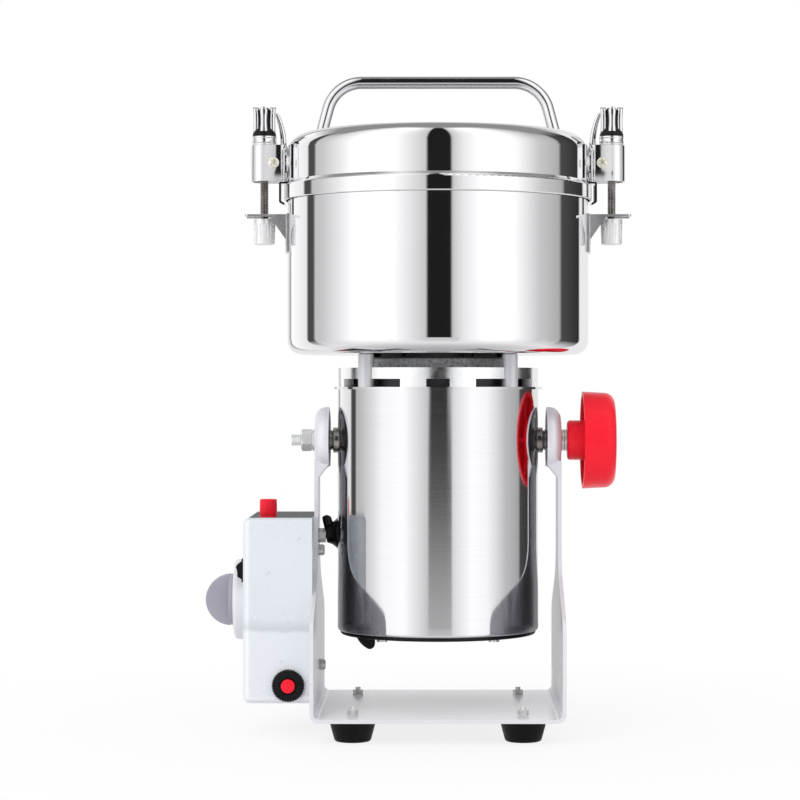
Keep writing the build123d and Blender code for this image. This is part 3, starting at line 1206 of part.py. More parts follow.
def clamp_knob():
    """Clamping knob: a plated collar, a black dome and stem, and upright plated fingers."""
    collar_r = KNOB_COLLAR_D / 2
    dome_r = collar_r - KNOB_DOME_INSET
    stem_r = KNOB_STEM_D / 2
    dome_top = KNOB_COLLAR_TOP + KNOB_DOME_H
    bore = rod_z(ROD_R + RUN_FIT, 0, ROD_TOP + GAP)
    collar = rod_z(collar_r, KNOB_BOTTOM, KNOB_COLLAR_TOP)
    collar = fillet(collar.edges().group_by(Axis.Z)[0], 0.6)
    shoulder = (dome_r - 0.9, KNOB_COLLAR_TOP + KNOB_DOME_H * 0.6)
    flank = ThreePointArc((dome_r, KNOB_COLLAR_TOP + 0.6), shoulder, (stem_r + 0.6, dome_top))
    outline = Line((0, KNOB_COLLAR_TOP), (dome_r, KNOB_COLLAR_TOP))
    outline += Line((dome_r, KNOB_COLLAR_TOP), (dome_r, KNOB_COLLAR_TOP + 0.6)) + flank
    outline += Line((stem_r + 0.6, dome_top), (0, dome_top)) + Line((0, dome_top), (0, KNOB_COLLAR_TOP))
    dome = revolve(Plane.XZ * make_face(outline), Axis.Z)
    stem = rod_z(stem_r, dome_top - 1, KNOB_STEM_TOP_Z)
    stem = fillet(stem.edges().group_by(Axis.Z)[-1], 1.6)
    fingers = around(knob_finger(), KNOB_FINGERS)
    core = cut_all(dome + stem - bore, fingers)
    return [Pos(CLAMP_ROD_X, 0, 0) * piece for piece in [collar - bore, core] + fingers]


def clamp_rod():
    """Rod that runs from the tension nut up through the block and into the knob."""
    rod = rod_z(ROD_R, ROD_BOTTOM, ROD_TOP, CLAMP_ROD_X)
    return chamfer(rod.edges().group_by(Axis.Z)[-1] + rod.edges().group_by(Axis.Z)[0], 0.6)


def tension_nut():
    """Knurled blind nut, a little narrower at its foot, with a short plain neck at its top."""
    r = TENSION_NUT_D / 2
    z0, z1 = TENSION_NUT_BOTTOM, TENSION_NUT_TOP
    nut = Pos(0, 0, z0) * Cone(r - TENSION_NUT_DRAFT, r, z1 - z0, align=BASE)
    nut = fillet(nut.edges().group_by(Axis.Z)[0], 1.0)
    groove = rod_z(TENSION_NUT_RIB_R, z0 - 1, z1 - TENSION_NUT_NECK_H, r)
    nut = cut_all(nut, around(groove, TENSION_NUT_RIBS))
    nut -= rod_z(ROD_R + RUN_FIT, z0 + TENSION_NUT_FLOOR, z1 + 1)
    return Pos(CLAMP_ROD_X, 0, 0) * nut


# ---- control box ------------------------------------------------------------------------
def control_box_shell():
    half = BOX_DEPTH / 2
    shell = block(-BOX_OUT_X, -BOX_IN_X, -half, half, BOX_BOTTOM_Z, BOX_TOP)
    shell = fillet(shell.edges() - shell.edges().group_by(Axis.X)[-1], BOX_EDGE_R)
    room = block(-BOX_OUT_X + BOX_WALL, -BOX_IN_X + 1, -half + BOX_WALL, half - BOX_WALL,
                 BOX_BOTTOM_Z + BOX_WALL, BOX_TOP - BOX_WALL)
    room = fillet(room.edges() - room.edges().group_by(Axis.X)[-1], BOX_ROOM_R)
    shell -= room
    shell -= rod_z(BUTTON_NECK_D / 2 + BUTTON_HOLE_ROOM, BOX_TOP - 5, BOX_TOP + 1, -BUTTON_X, BUTTON_Y)
    shell -= rod_y(RESET_BARREL_D / 2, BOX_FRONT_Y - 1, BOX_FRONT_Y + 5, -RESET_X, RESET_Z)
    shell -= rod_x(TIMER_SHAFT_D / 2 + TIMER_SHAFT_ROOM, -BOX_OUT_X - 1, -BOX_OUT_X + 5, 0, TIMER_Z)
    shell -= rocker_well(-BOX_OUT_X - 1, -BOX_OUT_X + 5)
    return shell - rod_y(INLET_D / 2 - 2, half - 5, half + 1, -INLET_X, INLET_Z)


def control_box_base():
    half = BOX_DEPTH / 2 - BOX_WALL - LOOSE_FIT
    base = block(-BOX_IN_X - BOX_WALL, -BOX_IN_X, -half, half,
                 BOX_BOTTOM_Z + BOX_WALL + LOOSE_FIT, BOX_TOP - BOX_WALL - LOOSE_FIT)
    base = fillet(base.edges().filter_by(Axis.X), BOX_EDGE_R - BOX_WALL)
    for y, z in BOX_SCREW_SPOTS:
        base -= rod_x(BOX_SCREW_D / 2 + LOOSE_FIT, -STAND_W, 0, y, z)
    return base - rod_x(GLAND_BARREL_D / 2 + LOOSE_FIT, -STAND_W, 0, GLAND_Y, GLAND_Z)


def box_screws():
    screws = []
    for y, z in BOX_SCREW_SPOTS:
        head = rod_x(BOX_SCREW_HEAD_D / 2, -CHEEK_IN, -CHEEK_IN + BOX_SCREW_HEAD_H, y, z)
        head = fillet(head.edges().group_by(Axis.X)[-1], BOX_SCREW_EDGE_R)
        shank = rod_x(BOX_SCREW_D / 2, -BOX_IN_X - BOX_SCREW_END, -CHEEK_IN, y, z)
        seat = -BOX_IN_X - BOX_WALL
        nut = hex_x(BOX_SCREW_NUT_AF, seat - BOX_SCREW_NUT_H, seat, y, z)
        screws += [head + shank, nut - shank]
    return screws


def timer_body():
    side = TIMER_BODY_SIDE / 2
    face = -BOX_OUT_X + BOX_WALL
    body = block(face, face + TIMER_BODY_T, -side, side, TIMER_Z - side, TIMER_Z + side)
    body = chamfer(body.edges().filter_by(Axis.X), 3)
    return body - rod_x(TIMER_SHAFT_D / 2 + RUN_FIT, face - 1, face + TIMER_BODY_T - 6, 0, TIMER_Z)


def timer_dial():
    """Raised dial disc with a rounded rim and a short pointer mark moulded in the rim."""
    dial = rod_x(DIAL_R, -DIAL_X, -BOX_OUT_X, 0, TIMER_Z)
    dial = fillet(dial.edges().group_by(Axis.X)[0], DIAL_EDGE_R)
    dial -= rod_x(TIMER_SHAFT_D / 2 + TIMER_SHAFT_ROOM, -DIAL_X - 1, 0, 0, TIMER_Z)
    half_w = ROCKER_FRAME_W / 2 + GAP
    half_h = ROCKER_FRAME_H / 2 + GAP
    frame_room = block(-2 * BOX_OUT_X, 0, ROCKER_Y - half_w, ROCKER_Y + half_w,
                       ROCKER_Z - half_h, ROCKER_Z + half_h)
    return dial - frame_room


def timer_knob():
    """Turning knob: a round base and a thin half-round fin, on its shaft."""
    base_end = TIMER_BASE_X + TIMER_KNOB_BASE_T
    base = rod_x(TIMER_KNOB_R, -base_end, -TIMER_BASE_X, 0, TIMER_Z)
    base = fillet(base.edges().group_by(Axis.X)[0], 1.0)
    fin = rod_y(TIMER_KNOB_R, -TIMER_FIN_T / 2, TIMER_FIN_T / 2, -base_end + 1.0, TIMER_Z)
    fin = fillet(fin.edges().filter_by(GeomType.CIRCLE), 1.2)
    fin = fin & block(-2 * BOX_OUT_X, -base_end + 0.2, -TIMER_FIN_T, TIMER_FIN_T, 0, BOX_TOP)
    knob = base + fin
    bore_end = base_end + 9
    knob -= rod_x(TIMER_SHAFT_D / 2, -bore_end, -TIMER_BASE_X + 1, 0, TIMER_Z)
    shaft_in = -BOX_OUT_X + BOX_WALL + TIMER_BODY_T - 8
    shaft = rod_x(TIMER_SHAFT_D / 2, -bore_end, shaft_in, 0, TIMER_Z)
    return [knob, shaft]


def reset_barrel():
    front = BOX_FRONT_Y - RESET_BARREL_PROUD
    return rod_y(RESET_BARREL_D / 2, front, BOX_FRONT_Y + BOX_WALL, -RESET_X, RESET_Z)


def rocker_drum(radius, side_room):
    half = ROCKER_W / 2 + side_room
    return rod_y(radius, ROCKER_Y - half, ROCKER_Y + half, -BOX_OUT_X, ROCKER_Z)


def rocker_well(x0, x1):
    half_w = ROCKER_W / 2 + ROCKER_BODY_WALL
    half_h = ROCKER_R + ROCKER_BODY_WALL
    return block(x0, x1, ROCKER_Y - half_w, ROCKER_Y + half_w, ROCKER_Z - half_h, ROCKER_Z + half_h)


def push_switch_body():
    side = SWITCH_BODY_SIDE / 2
    under = BOX_TOP - BOX_WALL
    floor = under - BUTTON_SKIRT - BUTTON_TRAVEL
    body = block(-BUTTON_X - side, -BUTTON_X + side, BUTTON_Y - side, BUTTON_Y + side,
                 under - SWITCH_BODY_H, under)
    return body - rod_z(BUTTON_NECK_D / 2 + RUN_FIT, floor - GAP, under + 1, -BUTTON_X, BUTTON_Y)


def rocker_body():
    face = -BOX_OUT_X
    half_w = ROCKER_FRAME_W / 2
    half_h = ROCKER_FRAME_H / 2
    frame = block(face - ROCKER_FRAME_T, face, ROCKER_Y - half_w, ROCKER_Y + half_w,
                  ROCKER_Z - half_h, ROCKER_Z + half_h)
    frame = fillet(frame.edges().filter_by(Axis.X), ROCKER_FRAME_R)
    frame += rocker_well(face - ROCKER_FRAME_T / 2, face + ROCKER_BODY_D)
    return frame - rocker_drum(ROCKER_R + RUN_FIT, LOOSE_FIT)


def overload_body():
    shoulder = RESET_BARREL_D / 2 + RESET_SHOULDER
    body = rod_y(shoulder, BOX_FRONT_Y + BOX_WALL, BOX_FRONT_Y + RESET_BODY_L, -RESET_X, RESET_Z)
    well_floor = BOX_FRONT_Y + RESET_SKIRT + RESET_TRAVEL + GAP
    well = rod_y(RESET_D / 2 + RUN_FIT, BOX_FRONT_Y - RESET_BARREL_PROUD - 1, well_floor, -RESET_X, RESET_Z)
    return body + reset_barrel() - well


def switch_bodies():
    return [push_switch_body(), rocker_body(), overload_body()]


def power_rocker():
    """Rocker paddle: a drum with a shallow hollow across its face, tipped to its off side."""
    hollow_r = ROCKER_R * 1.6
    centre = -BOX_OUT_X - ROCKER_R - hollow_r + ROCKER_HOLLOW
    hollow = rod_y(hollow_r, ROCKER_Y - ROCKER_W, ROCKER_Y + ROCKER_W, centre, ROCKER_Z)
    hinge = Axis((-BOX_OUT_X, ROCKER_Y, ROCKER_Z), (0, 1, 0))
    return rocker_drum(ROCKER_R, 0) - hollow.rotate(hinge, -ROCKER_THROW / 2)


def start_button():
    """Ribbed cap of the push switch on the box's top, flaring from its neck to its top."""
    top = BOX_TOP + BUTTON_PROUD
    neck_top = BOX_TOP + BUTTON_TRAVEL + GAP
    neck_r = BUTTON_NECK_D / 2
    cap = Pos(0, 0, neck_top) * Cone(neck_r, BUTTON_D / 2, top - neck_top, align=BASE)
    cap = fillet(cap.edges().group_by(Axis.Z)[-1], BUTTON_EDGE_R)
    cap += rod_z(neck_r, BOX_TOP - BOX_WALL - BUTTON_SKIRT, neck_top)
    groove_x = BUTTON_D / 2 + BUTTON_GROOVE_R - BUTTON_GROOVE_DEPTH
    groove = rod_z(BUTTON_GROOVE_R, neck_top, top - BUTTON_EDGE_R - 0.5, groove_x)
    return Pos(-BUTTON_X, BUTTON_Y, 0) * cut_all(cap, around(groove, BUTTON_GROOVE_COUNT))


def overload_ring():
    """Knurled ring nut that holds the overload protector in the front wall."""
    y1 = BOX_FRONT_Y
    y0 = y1 - RESET_RING_T
    ring = rod_y(RESET_RING_D / 2, y0, y1, 0, 0)
    ring = chamfer(ring.edges().group_by(Axis.Y)[0], 0.7)
    tooth = rod_y(RESET_TOOTH_R, y0 - 1, y1 + 1, RESET_RING_D / 2 + 0.25, 0)
    for i in range(RESET_RING_TEETH):
        ring -= Rot(0, i * 360 / RESET_RING_TEETH, 0) * tooth
    ring = Pos(-RESET_X, 0, RESET_Z) * ring
    ring -= reset_barrel()
    return ring - rod_y(RESET_D / 2 + 0.25, y0 - 1, y1 + 1, -RESET_X, RESET_Z)


def reset_button():
    tip = BOX_FRONT_Y - RESET_RING_T - RESET_PROUD
    button = rod_y(RESET_D / 2, tip, BOX_FRONT_Y + RESET_SKIRT, -RESET_X, RESET_Z)
    return fillet(button.edges().group_by(Axis.Y)[0], 0.9)


def mains_inlet():
    """Moulded sleeve on the box's back, where the mains lead goes in."""
    wall = BOX_DEPTH / 2
    flange = rod_y(INLET_D / 2, wall, wall + 2, -INLET_X, INLET_Z)
    neck = rod_y(INLET_D / 2 - 2, wall - BOX_WALL, wall + INLET_PROUD, -INLET_X, INLET_Z)
    neck = fillet(neck.edges().group_by(Axis.Y)[-1], 1.5)
    lock = rod_y(INLET_D / 2, wall - BOX_WALL - 3, wall - BOX_WALL, -INLET_X, INLET_Z)
    bore = rod_y(INLET_BORE_D / 2, 0, 2 * wall, -INLET_X, INLET_Z)
    return flange + neck + lock - bore


def lead_gland():
    face = -CHEEK_IN
    nut = hex_x(GLAND_NUT_AF, face, face + GLAND_NUT_H, GLAND_Y, GLAND_Z)
    barrel = rod_x(GLAND_BARREL_D / 2, -BOX_IN_X - BOX_WALL - GLAND_BACK_NUT_H, face, GLAND_Y, GLAND_Z)
    inside = -BOX_IN_X - BOX_WALL
    back_nut = hex_x(GLAND_NUT_AF, inside - GLAND_BACK_NUT_H, inside, GLAND_Y, GLAND_Z)
    return nut + barrel + back_nut - rod_x(LEAD_D / 2, -STAND_W, 0, GLAND_Y, GLAND_Z)


def motor_lead():
    """Short lead from the control box into the motor's boot."""
    return rod_x(LEAD_D / 2, -BOX_IN_X - LEAD_IN_BOX, -BOOT_MOUTH_X - GAP, GLAND_Y, GLAND_Z)


def motor_boot():
    """Rubber boot on the housing: a flared cone round the lead, and a round lobe above it."""
    start = BOOT_SINK - HOUSING_R
    flare = Pos(start, GLAND_Y, GLAND_Z + BOOT_RISE) * Rot(0, -90, 0) * Cone(
        BOOT_BASE_R, BOOT_NECK_R, BOOT_SINK + BOOT_L, align=BASE)
    half = LOBE_W / 2
    low = GLAND_Z + LOBE_LIFT
    lobe = block(LOBE_ROOM - CHEEK_IN, start, GLAND_Y - half, GLAND_Y + half, low, low + LOBE_H)
    lobe = fillet(lobe.edges().filter_by(Axis.Y).group_by(Axis.X)[0], half - 0.6)
    lobe = fillet(lobe.edges().filter_by(Axis.X), 2.0)
    return flare + lobe - rod_z(HOUSING_R, 0, BOWL_Z)


# ---- all the nodes ----------------------------------------------------------------------
def both_sides(name, shape):
    pieces = shape if isinstance(shape, list) else [shape]
    return {name + "_right": pieces, name + "_left": [mirrored(piece) for piece in pieces]}


def nodes():
    return {
        "stand_frame": stand_frame(), "rubber_feet": feet(), "foot_fasteners": foot_fasteners(),
        "control_box_shell": control_box_shell(), "control_box_base": control_box_base(),
        "box_screws": box_screws(), "timer_body": timer_body(), "timer_dial": timer_dial(),
        "switch_bodies": switch_bodies(), "overload_ring": overload_ring(), "mains_inlet": mains_inlet(),
        "lead_gland": lead_gland(), "motor_lead": motor_lead(),
        "timer_knob": timer_knob(), "start_button": start_button(), "reset_button": reset_button(),
        "power_rocker": power_rocker(),
        "motor_housing": motor_housing(), "housing_bottom_cover": housing_bottom_cover(),
        "motor_boot": motor_boot(), "housing_screws": housing_screws(), "lower_bracket": lower_bracket(),
        "end_bracket": end_bracket(), "bearings": bearings(), "motor_frame": motor_frame(),
        "stator_core": stator_core(), "field_coils": field_coils(), "brush_gear": brush_gear(),
        "support_posts": support_posts(), "neck_ring": neck_ring(), "shaft_seal": shaft_seal(),
        "grinding_bowl": grinding_bowl(), "bowl_brackets": bowl_brackets(),
        "pivot_studs": pivot_studs(), "pivot_washers": pivot_washers_and_nut(),
        "tilt_knob": tilt_knob(), "tilt_knob_insert": tilt_knob_insert(),
        "rotor_core": rotor_core(), "commutator": commutator(), "motor_shaft": motor_shaft(),
        "cooling_fan": cooling_fan(), "lower_blade": lower_blade(), "upper_blade": upper_blade(),
        "blade_spacers": blade_spacers(), "blade_nut": blade_nut(),
        "lid": lid(), "lid_gasket": lid_gasket(), "lid_handle": lid_handle(),
        "lid_fasteners": lid_fasteners(), "lid_brackets": lid_brackets(), "clamp_yokes": clamp_yokes(),
        **both_sides("guide_block", guide_block()), **both_sides("clamp_knob", clamp_knob()),
        **both_sides("clamp_rod", clamp_rod()), **both_sides("tension_nut", tension_nut()),
    }


def place_in_row_frame(shape):
    """One compound of a node's solids, with the origin under the middle of the bounding box."""
    pieces = shape if isinstance(shape, list) else [shape]
    solids = [solid for piece in pieces for solid in piece.solids()]
    return Pos(AXIS_X, 0, 0) * Compound(children=solids)


def main():
    os.makedirs("parts", exist_ok=True)
    for name, shape in nodes().items():
        export_step(place_in_row_frame(shape), "parts/" + name + ".step")


main()
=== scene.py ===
import json
import math

import bmesh
import bpy
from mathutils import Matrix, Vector


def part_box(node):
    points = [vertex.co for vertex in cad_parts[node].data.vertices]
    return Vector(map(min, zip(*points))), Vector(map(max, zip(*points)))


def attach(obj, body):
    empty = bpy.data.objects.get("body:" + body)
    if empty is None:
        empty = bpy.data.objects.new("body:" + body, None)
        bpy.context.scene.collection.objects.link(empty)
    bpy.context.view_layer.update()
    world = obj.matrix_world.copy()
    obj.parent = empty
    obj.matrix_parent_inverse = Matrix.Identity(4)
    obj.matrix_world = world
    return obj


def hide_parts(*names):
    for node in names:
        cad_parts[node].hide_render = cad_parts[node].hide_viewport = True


# Looks of the electric grain mill. The CAD frame fixes every place and size; this script
# gives each piece its finish, and builds finer meshes for the pieces that show most.

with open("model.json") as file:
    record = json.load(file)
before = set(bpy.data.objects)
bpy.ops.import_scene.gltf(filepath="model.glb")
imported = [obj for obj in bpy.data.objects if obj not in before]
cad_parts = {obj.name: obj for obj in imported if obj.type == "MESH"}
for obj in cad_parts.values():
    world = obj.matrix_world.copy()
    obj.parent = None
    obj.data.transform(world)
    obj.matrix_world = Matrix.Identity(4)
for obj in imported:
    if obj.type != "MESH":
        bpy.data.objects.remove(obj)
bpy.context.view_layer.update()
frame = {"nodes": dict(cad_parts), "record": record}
NODES = frame["nodes"]
MM = 0.001
TURN = 2 * math.pi
QUARTER_TURN = math.pi / 2

# ---- camera, from the fit to the bowl's rims and the stand's base ------------------------
IMAGE_SIZE = 800
FOCAL_PIXELS = 2600
SENSOR_WIDTH = 36.0
CAMERA_DISTANCE = 1.733
EYE_HEIGHT = 0.2277
AXIS_PIXEL = (438, 388)

# ---- studio, set to match the reflections in the polished steel ---------------------------
# Heading from the camera's side in degrees, positive to the right, and brightness there.
RING_TOP = 1.4
STUDIO_RING = [
    (-180, 0.85), (-160, 0.85), (-157, 0.4), (-154, 0.4), (-150, 1.2), (-119, 1.0),
    (-117.5, 0.08), (-109, 0.08), (-107, 0.65), (-98, 0.7), (-80, 1.0), (-66, 1.3),
    (-40, 1.4), (-11, 0.75), (11, 0.7), (19, 1.0), (39, 1.4), (57, 1.3), (70, 1.0),
    (83, 0.7), (105, 0.5), (108, 0.08), (136, 0.03), (138, 1.0), (180, 0.85),
]
# The dark strip in front, where camera and stand cut the softboxes apart: its left and right
# edges in degrees above the camera's height and below it, and where it meets the floor.
STRIP_LEVEL = 0.015
STRIP_ABOVE = (-8.4, 10.2)
STRIP_BELOW = (-10.9, 15.5)
STRIP_TURNOVER = (-0.02, 0.015)
STRIP_EDGE = 1.0
STRIP_FLOOR_LEVEL = 0.68
STRIP_FLOOR_RISE = (-0.088, -0.047)
# What polished faces see below the horizon and overhead. Heights here are those of the
# direction looked in, from -1 straight down to 1 straight up.
FLOOR_LEVEL = 0.95
FLOOR_RISE = (-0.64, -0.14)
NADIR_LEVEL = 0.55
CEILING_LEVEL = 0.32
FRONT_CEILING = (0.965, 0.995)
BACK_CEILING = (0.52, 0.72)
BEHIND = (0.0, 0.1)
# A dark card low behind the object, narrow enough to show only in the top of the box.
CARD_LEVEL = 0.1
CARD_MIDDLE = -0.061
CARD_HALF_WIDTH = (0.02, 0.03)
CARD_BOTTOM = (0.015, 0.03)
CARD_TOP = (0.09, 0.12)
FILL_LEVEL = 0.88           # plain light on dull surfaces
LAMP_PLACE = (-0.7, -1.5, 1.0)
LAMP_TARGET = (0, 0, 0.15)
LAMP_SIZE = 0.9
LAMP_POWER = 9.0
FLOOR_HALF = 6.0
FLOOR_GLOW = (0.8, 1.0)     # share of plain white in the floor, near and far
FLOOR_FADE = (0.16, 0.45)   # metres from the object over which that share grows

# ---- limits of the materials' masks, in metres --------------------------------------------
CHEEK_INNER_X = (0.0799, 0.0805)
CHEEK_FOOT_Z = (0.03, 0.045)
PLATE_TOP_Z = (0.02, 0.03)
BOX_LINE_START = (0.0745, 0.0765)
BOX_LINE_END = (0.0775, 0.0835)
SHIELD_OPENING_R = (0.0585, 0.0592)
SHIELD_FACE_Z = (0.2336, 0.2338)
SEAT_GAP_Z = (0.2468, 0.2479)

# ---- sizes of the finer pieces, in millimetres about the mill's own axis -----------------
MILL_X = (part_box("grinding_bowl")[0].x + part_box("grinding_bowl")[1].x) / 2 / MM
PIVOT_CENTRE = (0, 0, 193.0)
STUD_R = 4.0
STUD_PITCH = 1.25
STUD_THREAD_START = 84.0
ROD_PITCH = 1.0
NUT_TURN = math.radians(10.5)
CLAMP_ROD = (115.7, 0, 0)
YOKE_PIVOT = (108.7, 376.8)
FOOT_TOP_R = 15.5
RING_TEETH = 36
RING_R = 10.6
TOOTH_DEPTH = 0.75
BOOT_CENTRE = (0, 4.0, 130.8)
LOBE_FOOT = (-71.6, 131.0)
LOBE_HEIGHT = 11.9
DIAL_STROKES = 16
DIAL_START = 215.0
DIAL_SWEEP = 250.0


# ---- node helpers -----------------------------------------------------------------------
class Shader:
    """A node tree with short calls for the nodes that the materials share."""

    def __init__(self, tree):
        self.tree = tree
        self.nodes = tree.nodes
        self.links = tree.links

    def add(self, kind, inputs=(), **settings):
        node = self.nodes.new("ShaderNode" + kind)
        for key, value in settings.items():
            setattr(node, key, value)
        for key, value in dict(inputs).items():
            self.feed(node, key, value)
        return node

    def feed(self, node, key, value):
        if isinstance(value, bpy.types.NodeSocket):
            self.links.new(value, node.inputs[key])
        else:
            node.inputs[key].default_value = value

    def maths(self, operation, a, b=0.0, c=0.0):
        node = self.add("Math", operation=operation)
        for index, value in enumerate((a, b, c)):
            self.feed(node, index, value)
        return node.outputs[0]

    def length(self, x, y):
        squares = self.maths("ADD", self.maths("MULTIPLY", x, x), self.maths("MULTIPLY", y, y))
        return self.maths("SQRT", squares)

    def mix(self, factor, first, second):
        node = self.add("Mix", {"Factor": factor, "A": first, "B": second}, data_type="FLOAT")
        return node.outputs[0]

    def place(self):
        return self.split(self.add("TexCoord").outputs["Object"])

    def split(self, vector):
        return self.add("SeparateXYZ", {"Vector": vector}).outputs

    def from_axis(self):
        """Distance from the mill's upright axis."""
        x, y, _ = self.place()
        return self.length(self.maths("SUBTRACT", x, MILL_X * MM), y)

    def normal(self, axis, kind="True Normal"):
        return self.split(self.add("NewGeometry").outputs[kind])["XYZ".index(axis)]

    def noise(self, scale, detail=3.0, stretch=(1, 1, 1), roughness=0.5):
        where = self.add("TexCoord").outputs["Object"]
        mapping = self.add("Mapping", {"Vector": where, "Scale": stretch})
        node = self.add("TexNoise", {"Vector": mapping.outputs[0], "Scale": scale,
                                     "Detail": detail, "Roughness": roughness})
        return node.outputs[0]

    def spread(self, value, low, high, start=0.3, end=0.7):
        node = self.add("MapRange", {"Value": value, "From Min": start, "From Max": end,
                                     "To Min": low, "To Max": high})
        return node.outputs[0]

    def above(self, value, limits):
        """0 below the first limit, 1 above the second."""
        return self.spread(value, 0.0, 1.0, *limits)

    def below(self, value, limits):
        """1 below the first limit, 0 above the second."""
        return self.spread(value, 1.0, 0.0, *limits)

    def both(self, first, second):
        return self.maths("MULTIPLY", first, second)

    def blend(self, factor, first, second):
        """A colour between two, each of them a socket or three numbers."""
        node = self.add("Mix", {"Factor": factor}, data_type="RGBA")
        for index, colour in ((6, first), (7, second)):
            self.feed(node, index, (*colour, 1.0) if isinstance(colour, tuple) else colour)
        return node.outputs[2]

    def cloudy(self, value, low, high, *limits):
        return self.blend(self.spread(value, 0, 1, *limits), low, high)

    def bump(self, height, distance, strength=1.0, normal=None):
        node = self.add("Bump", {"Height": height, "Distance": distance, "Strength": strength})
        if normal is not None:
            self.feed(node, "Normal", normal)
        return node.outputs[0]


MATERIALS = {}


def new_material(name, metallic=0.0, **inputs):
    """Adds a Principled material to MATERIALS; gives its shader and the helper for its tree."""
    material = MATERIALS[name] = bpy.data.materials.new(name)
    material.use_nodes = True
    shader = Shader(material.node_tree)
    surface = material.node_tree.nodes["Principled BSDF"]
    surface.inputs["Metallic"].default_value = metallic
    for key, value in inputs.items():
        surface.inputs[key.replace("_", " ")].default_value = value
    return surface, shader


# ---- materials --------------------------------------------------------------------------
def metal(name, low, high, rough, grain=60, relief=0.00002, cloud=20, wave=0.0, wave_scale=40,
          shine=1.0):
    """Metal with a cloudy tone, uneven polish, a fine grain and, where asked, soft waves."""
    surface, shader = new_material(name, shine)
    shader.feed(surface, "Base Color", shader.cloudy(shader.noise(cloud, 3), low, high))
    shader.feed(surface, "Roughness", shader.spread(shader.noise(grain, 4), *rough))
    normal = shader.bump(shader.noise(grain * 5, 3), relief, 0.35)
    if wave:
        normal = shader.bump(shader.noise(wave_scale, 1), wave, 1.0, normal)
    shader.feed(surface, "Normal", normal)


def polished_steel():
    """Spun stainless: a mirror with a trace of level lines from the lathe."""
    surface, shader = new_material("polished_steel", 1.0)
    tone = shader.cloudy(shader.noise(9, 3), (0.785, 0.785, 0.8), (0.82, 0.82, 0.835))
    shader.feed(surface, "Base Color", tone)
    streak = shader.noise(60, 4, (0.6, 0.6, 14))
    shader.feed(surface, "Roughness", shader.spread(streak, 0.03, 0.055))
    lines = shader.noise(120, 3, (0.5, 0.5, 18))
    shader.feed(surface, "Normal", shader.bump(lines, 0.000003, 0.2))


def spun_lid():
    """Polished lid whose flat top keeps the finer circles of the lathe."""
    surface, shader = new_material("spun_lid", 1.0)
    along = shader.maths("MULTIPLY", shader.from_axis(), 900.0)
    circles = shader.add("TexNoise", {"W": along, "Scale": 1.0, "Detail": 4.0},
                         noise_dimensions="1D").outputs[0]
    top = shader.above(shader.normal("Z", "Normal"), (0.93, 0.99))
    tone = shader.cloudy(circles, (0.79, 0.79, 0.805), (0.83, 0.83, 0.84))
    shader.feed(surface, "Base Color", tone)
    polish = shader.spread(shader.noise(60, 4), 0.03, 0.055)
    rough = shader.mix(top, polish, shader.spread(circles, 0.26, 0.36))
    shader.feed(surface, "Roughness", rough)
    shader.feed(surface, "Normal", shader.bump(shader.both(circles, top), 0.00001, 0.5))


def brushed_steel():
    """Stainless sheet rolled to a tube: reflections drawn out along its length."""
    surface, shader = new_material("brushed_steel", 1.0, Anisotropic=0.8,
                                   Anisotropic_Rotation=0.25)
    tangent = shader.add("Tangent", direction_type="RADIAL", axis="Z").outputs[0]
    shader.feed(surface, "Tangent", tangent)
    lines = shader.noise(40, 6, (0.3, 0.3, 34), roughness=0.75)
    tone = shader.cloudy(lines, (0.695, 0.695, 0.712), (0.73, 0.73, 0.745))
    shader.feed(surface, "Base Color", tone)
    shader.feed(surface, "Roughness", shader.spread(lines, 0.08, 0.105))
    shader.feed(surface, "Normal", shader.bump(lines, 0.000003, 0.3))


def stand_satin():
    """Satin plated sheet, with painted shade on the faces that look at the motor and painted light
    on the plate's top.
    """
    surface, shader = new_material("stand_chrome")
    x, _, z = shader.place()
    tone = shader.cloudy(shader.noise(7, 4, (1, 1, 0.4)), (0.76, 0.755, 0.81),
                         (0.82, 0.815, 0.87))
    aside = shader.maths("ABSOLUTE", shader.maths("SUBTRACT", x, MILL_X * MM))
    inner = shader.both(shader.below(aside, CHEEK_INNER_X), shader.above(z, CHEEK_FOOT_Z))
    sideways = shader.maths("ABSOLUTE", shader.normal("X"))
    inner = shader.both(inner, shader.above(sideways, (0.8, 0.92)))
    # Painted shade: the cheeks' inner faces, which look at the motor, are coloured dark grey.
    tone = shader.blend(inner, tone, (0.3, 0.295, 0.32))
    # Painted light: the plate's upward face is coloured brighter than the rest of the stand.
    plate = shader.both(shader.above(shader.normal("Z"), (0.9, 0.97)),
                        shader.below(z, PLATE_TOP_Z))
    tone = shader.blend(plate, tone, (0.95, 0.945, 0.985))
    shader.feed(surface, "Base Color", tone)
    shader.feed(surface, "Metallic", shader.mix(inner, 0.2, 0.8))
    rough = shader.mix(plate, shader.spread(shader.noise(30, 4), 0.34, 0.42), 0.22)
    shader.feed(surface, "Roughness", shader.mix(inner, rough, 0.24))
    waves = shader.bump(shader.noise(16, 2), 0.0003, 0.5)
    shader.feed(surface, "Normal", shader.bump(shader.noise(220, 3), 0.00002, 0.3, waves))


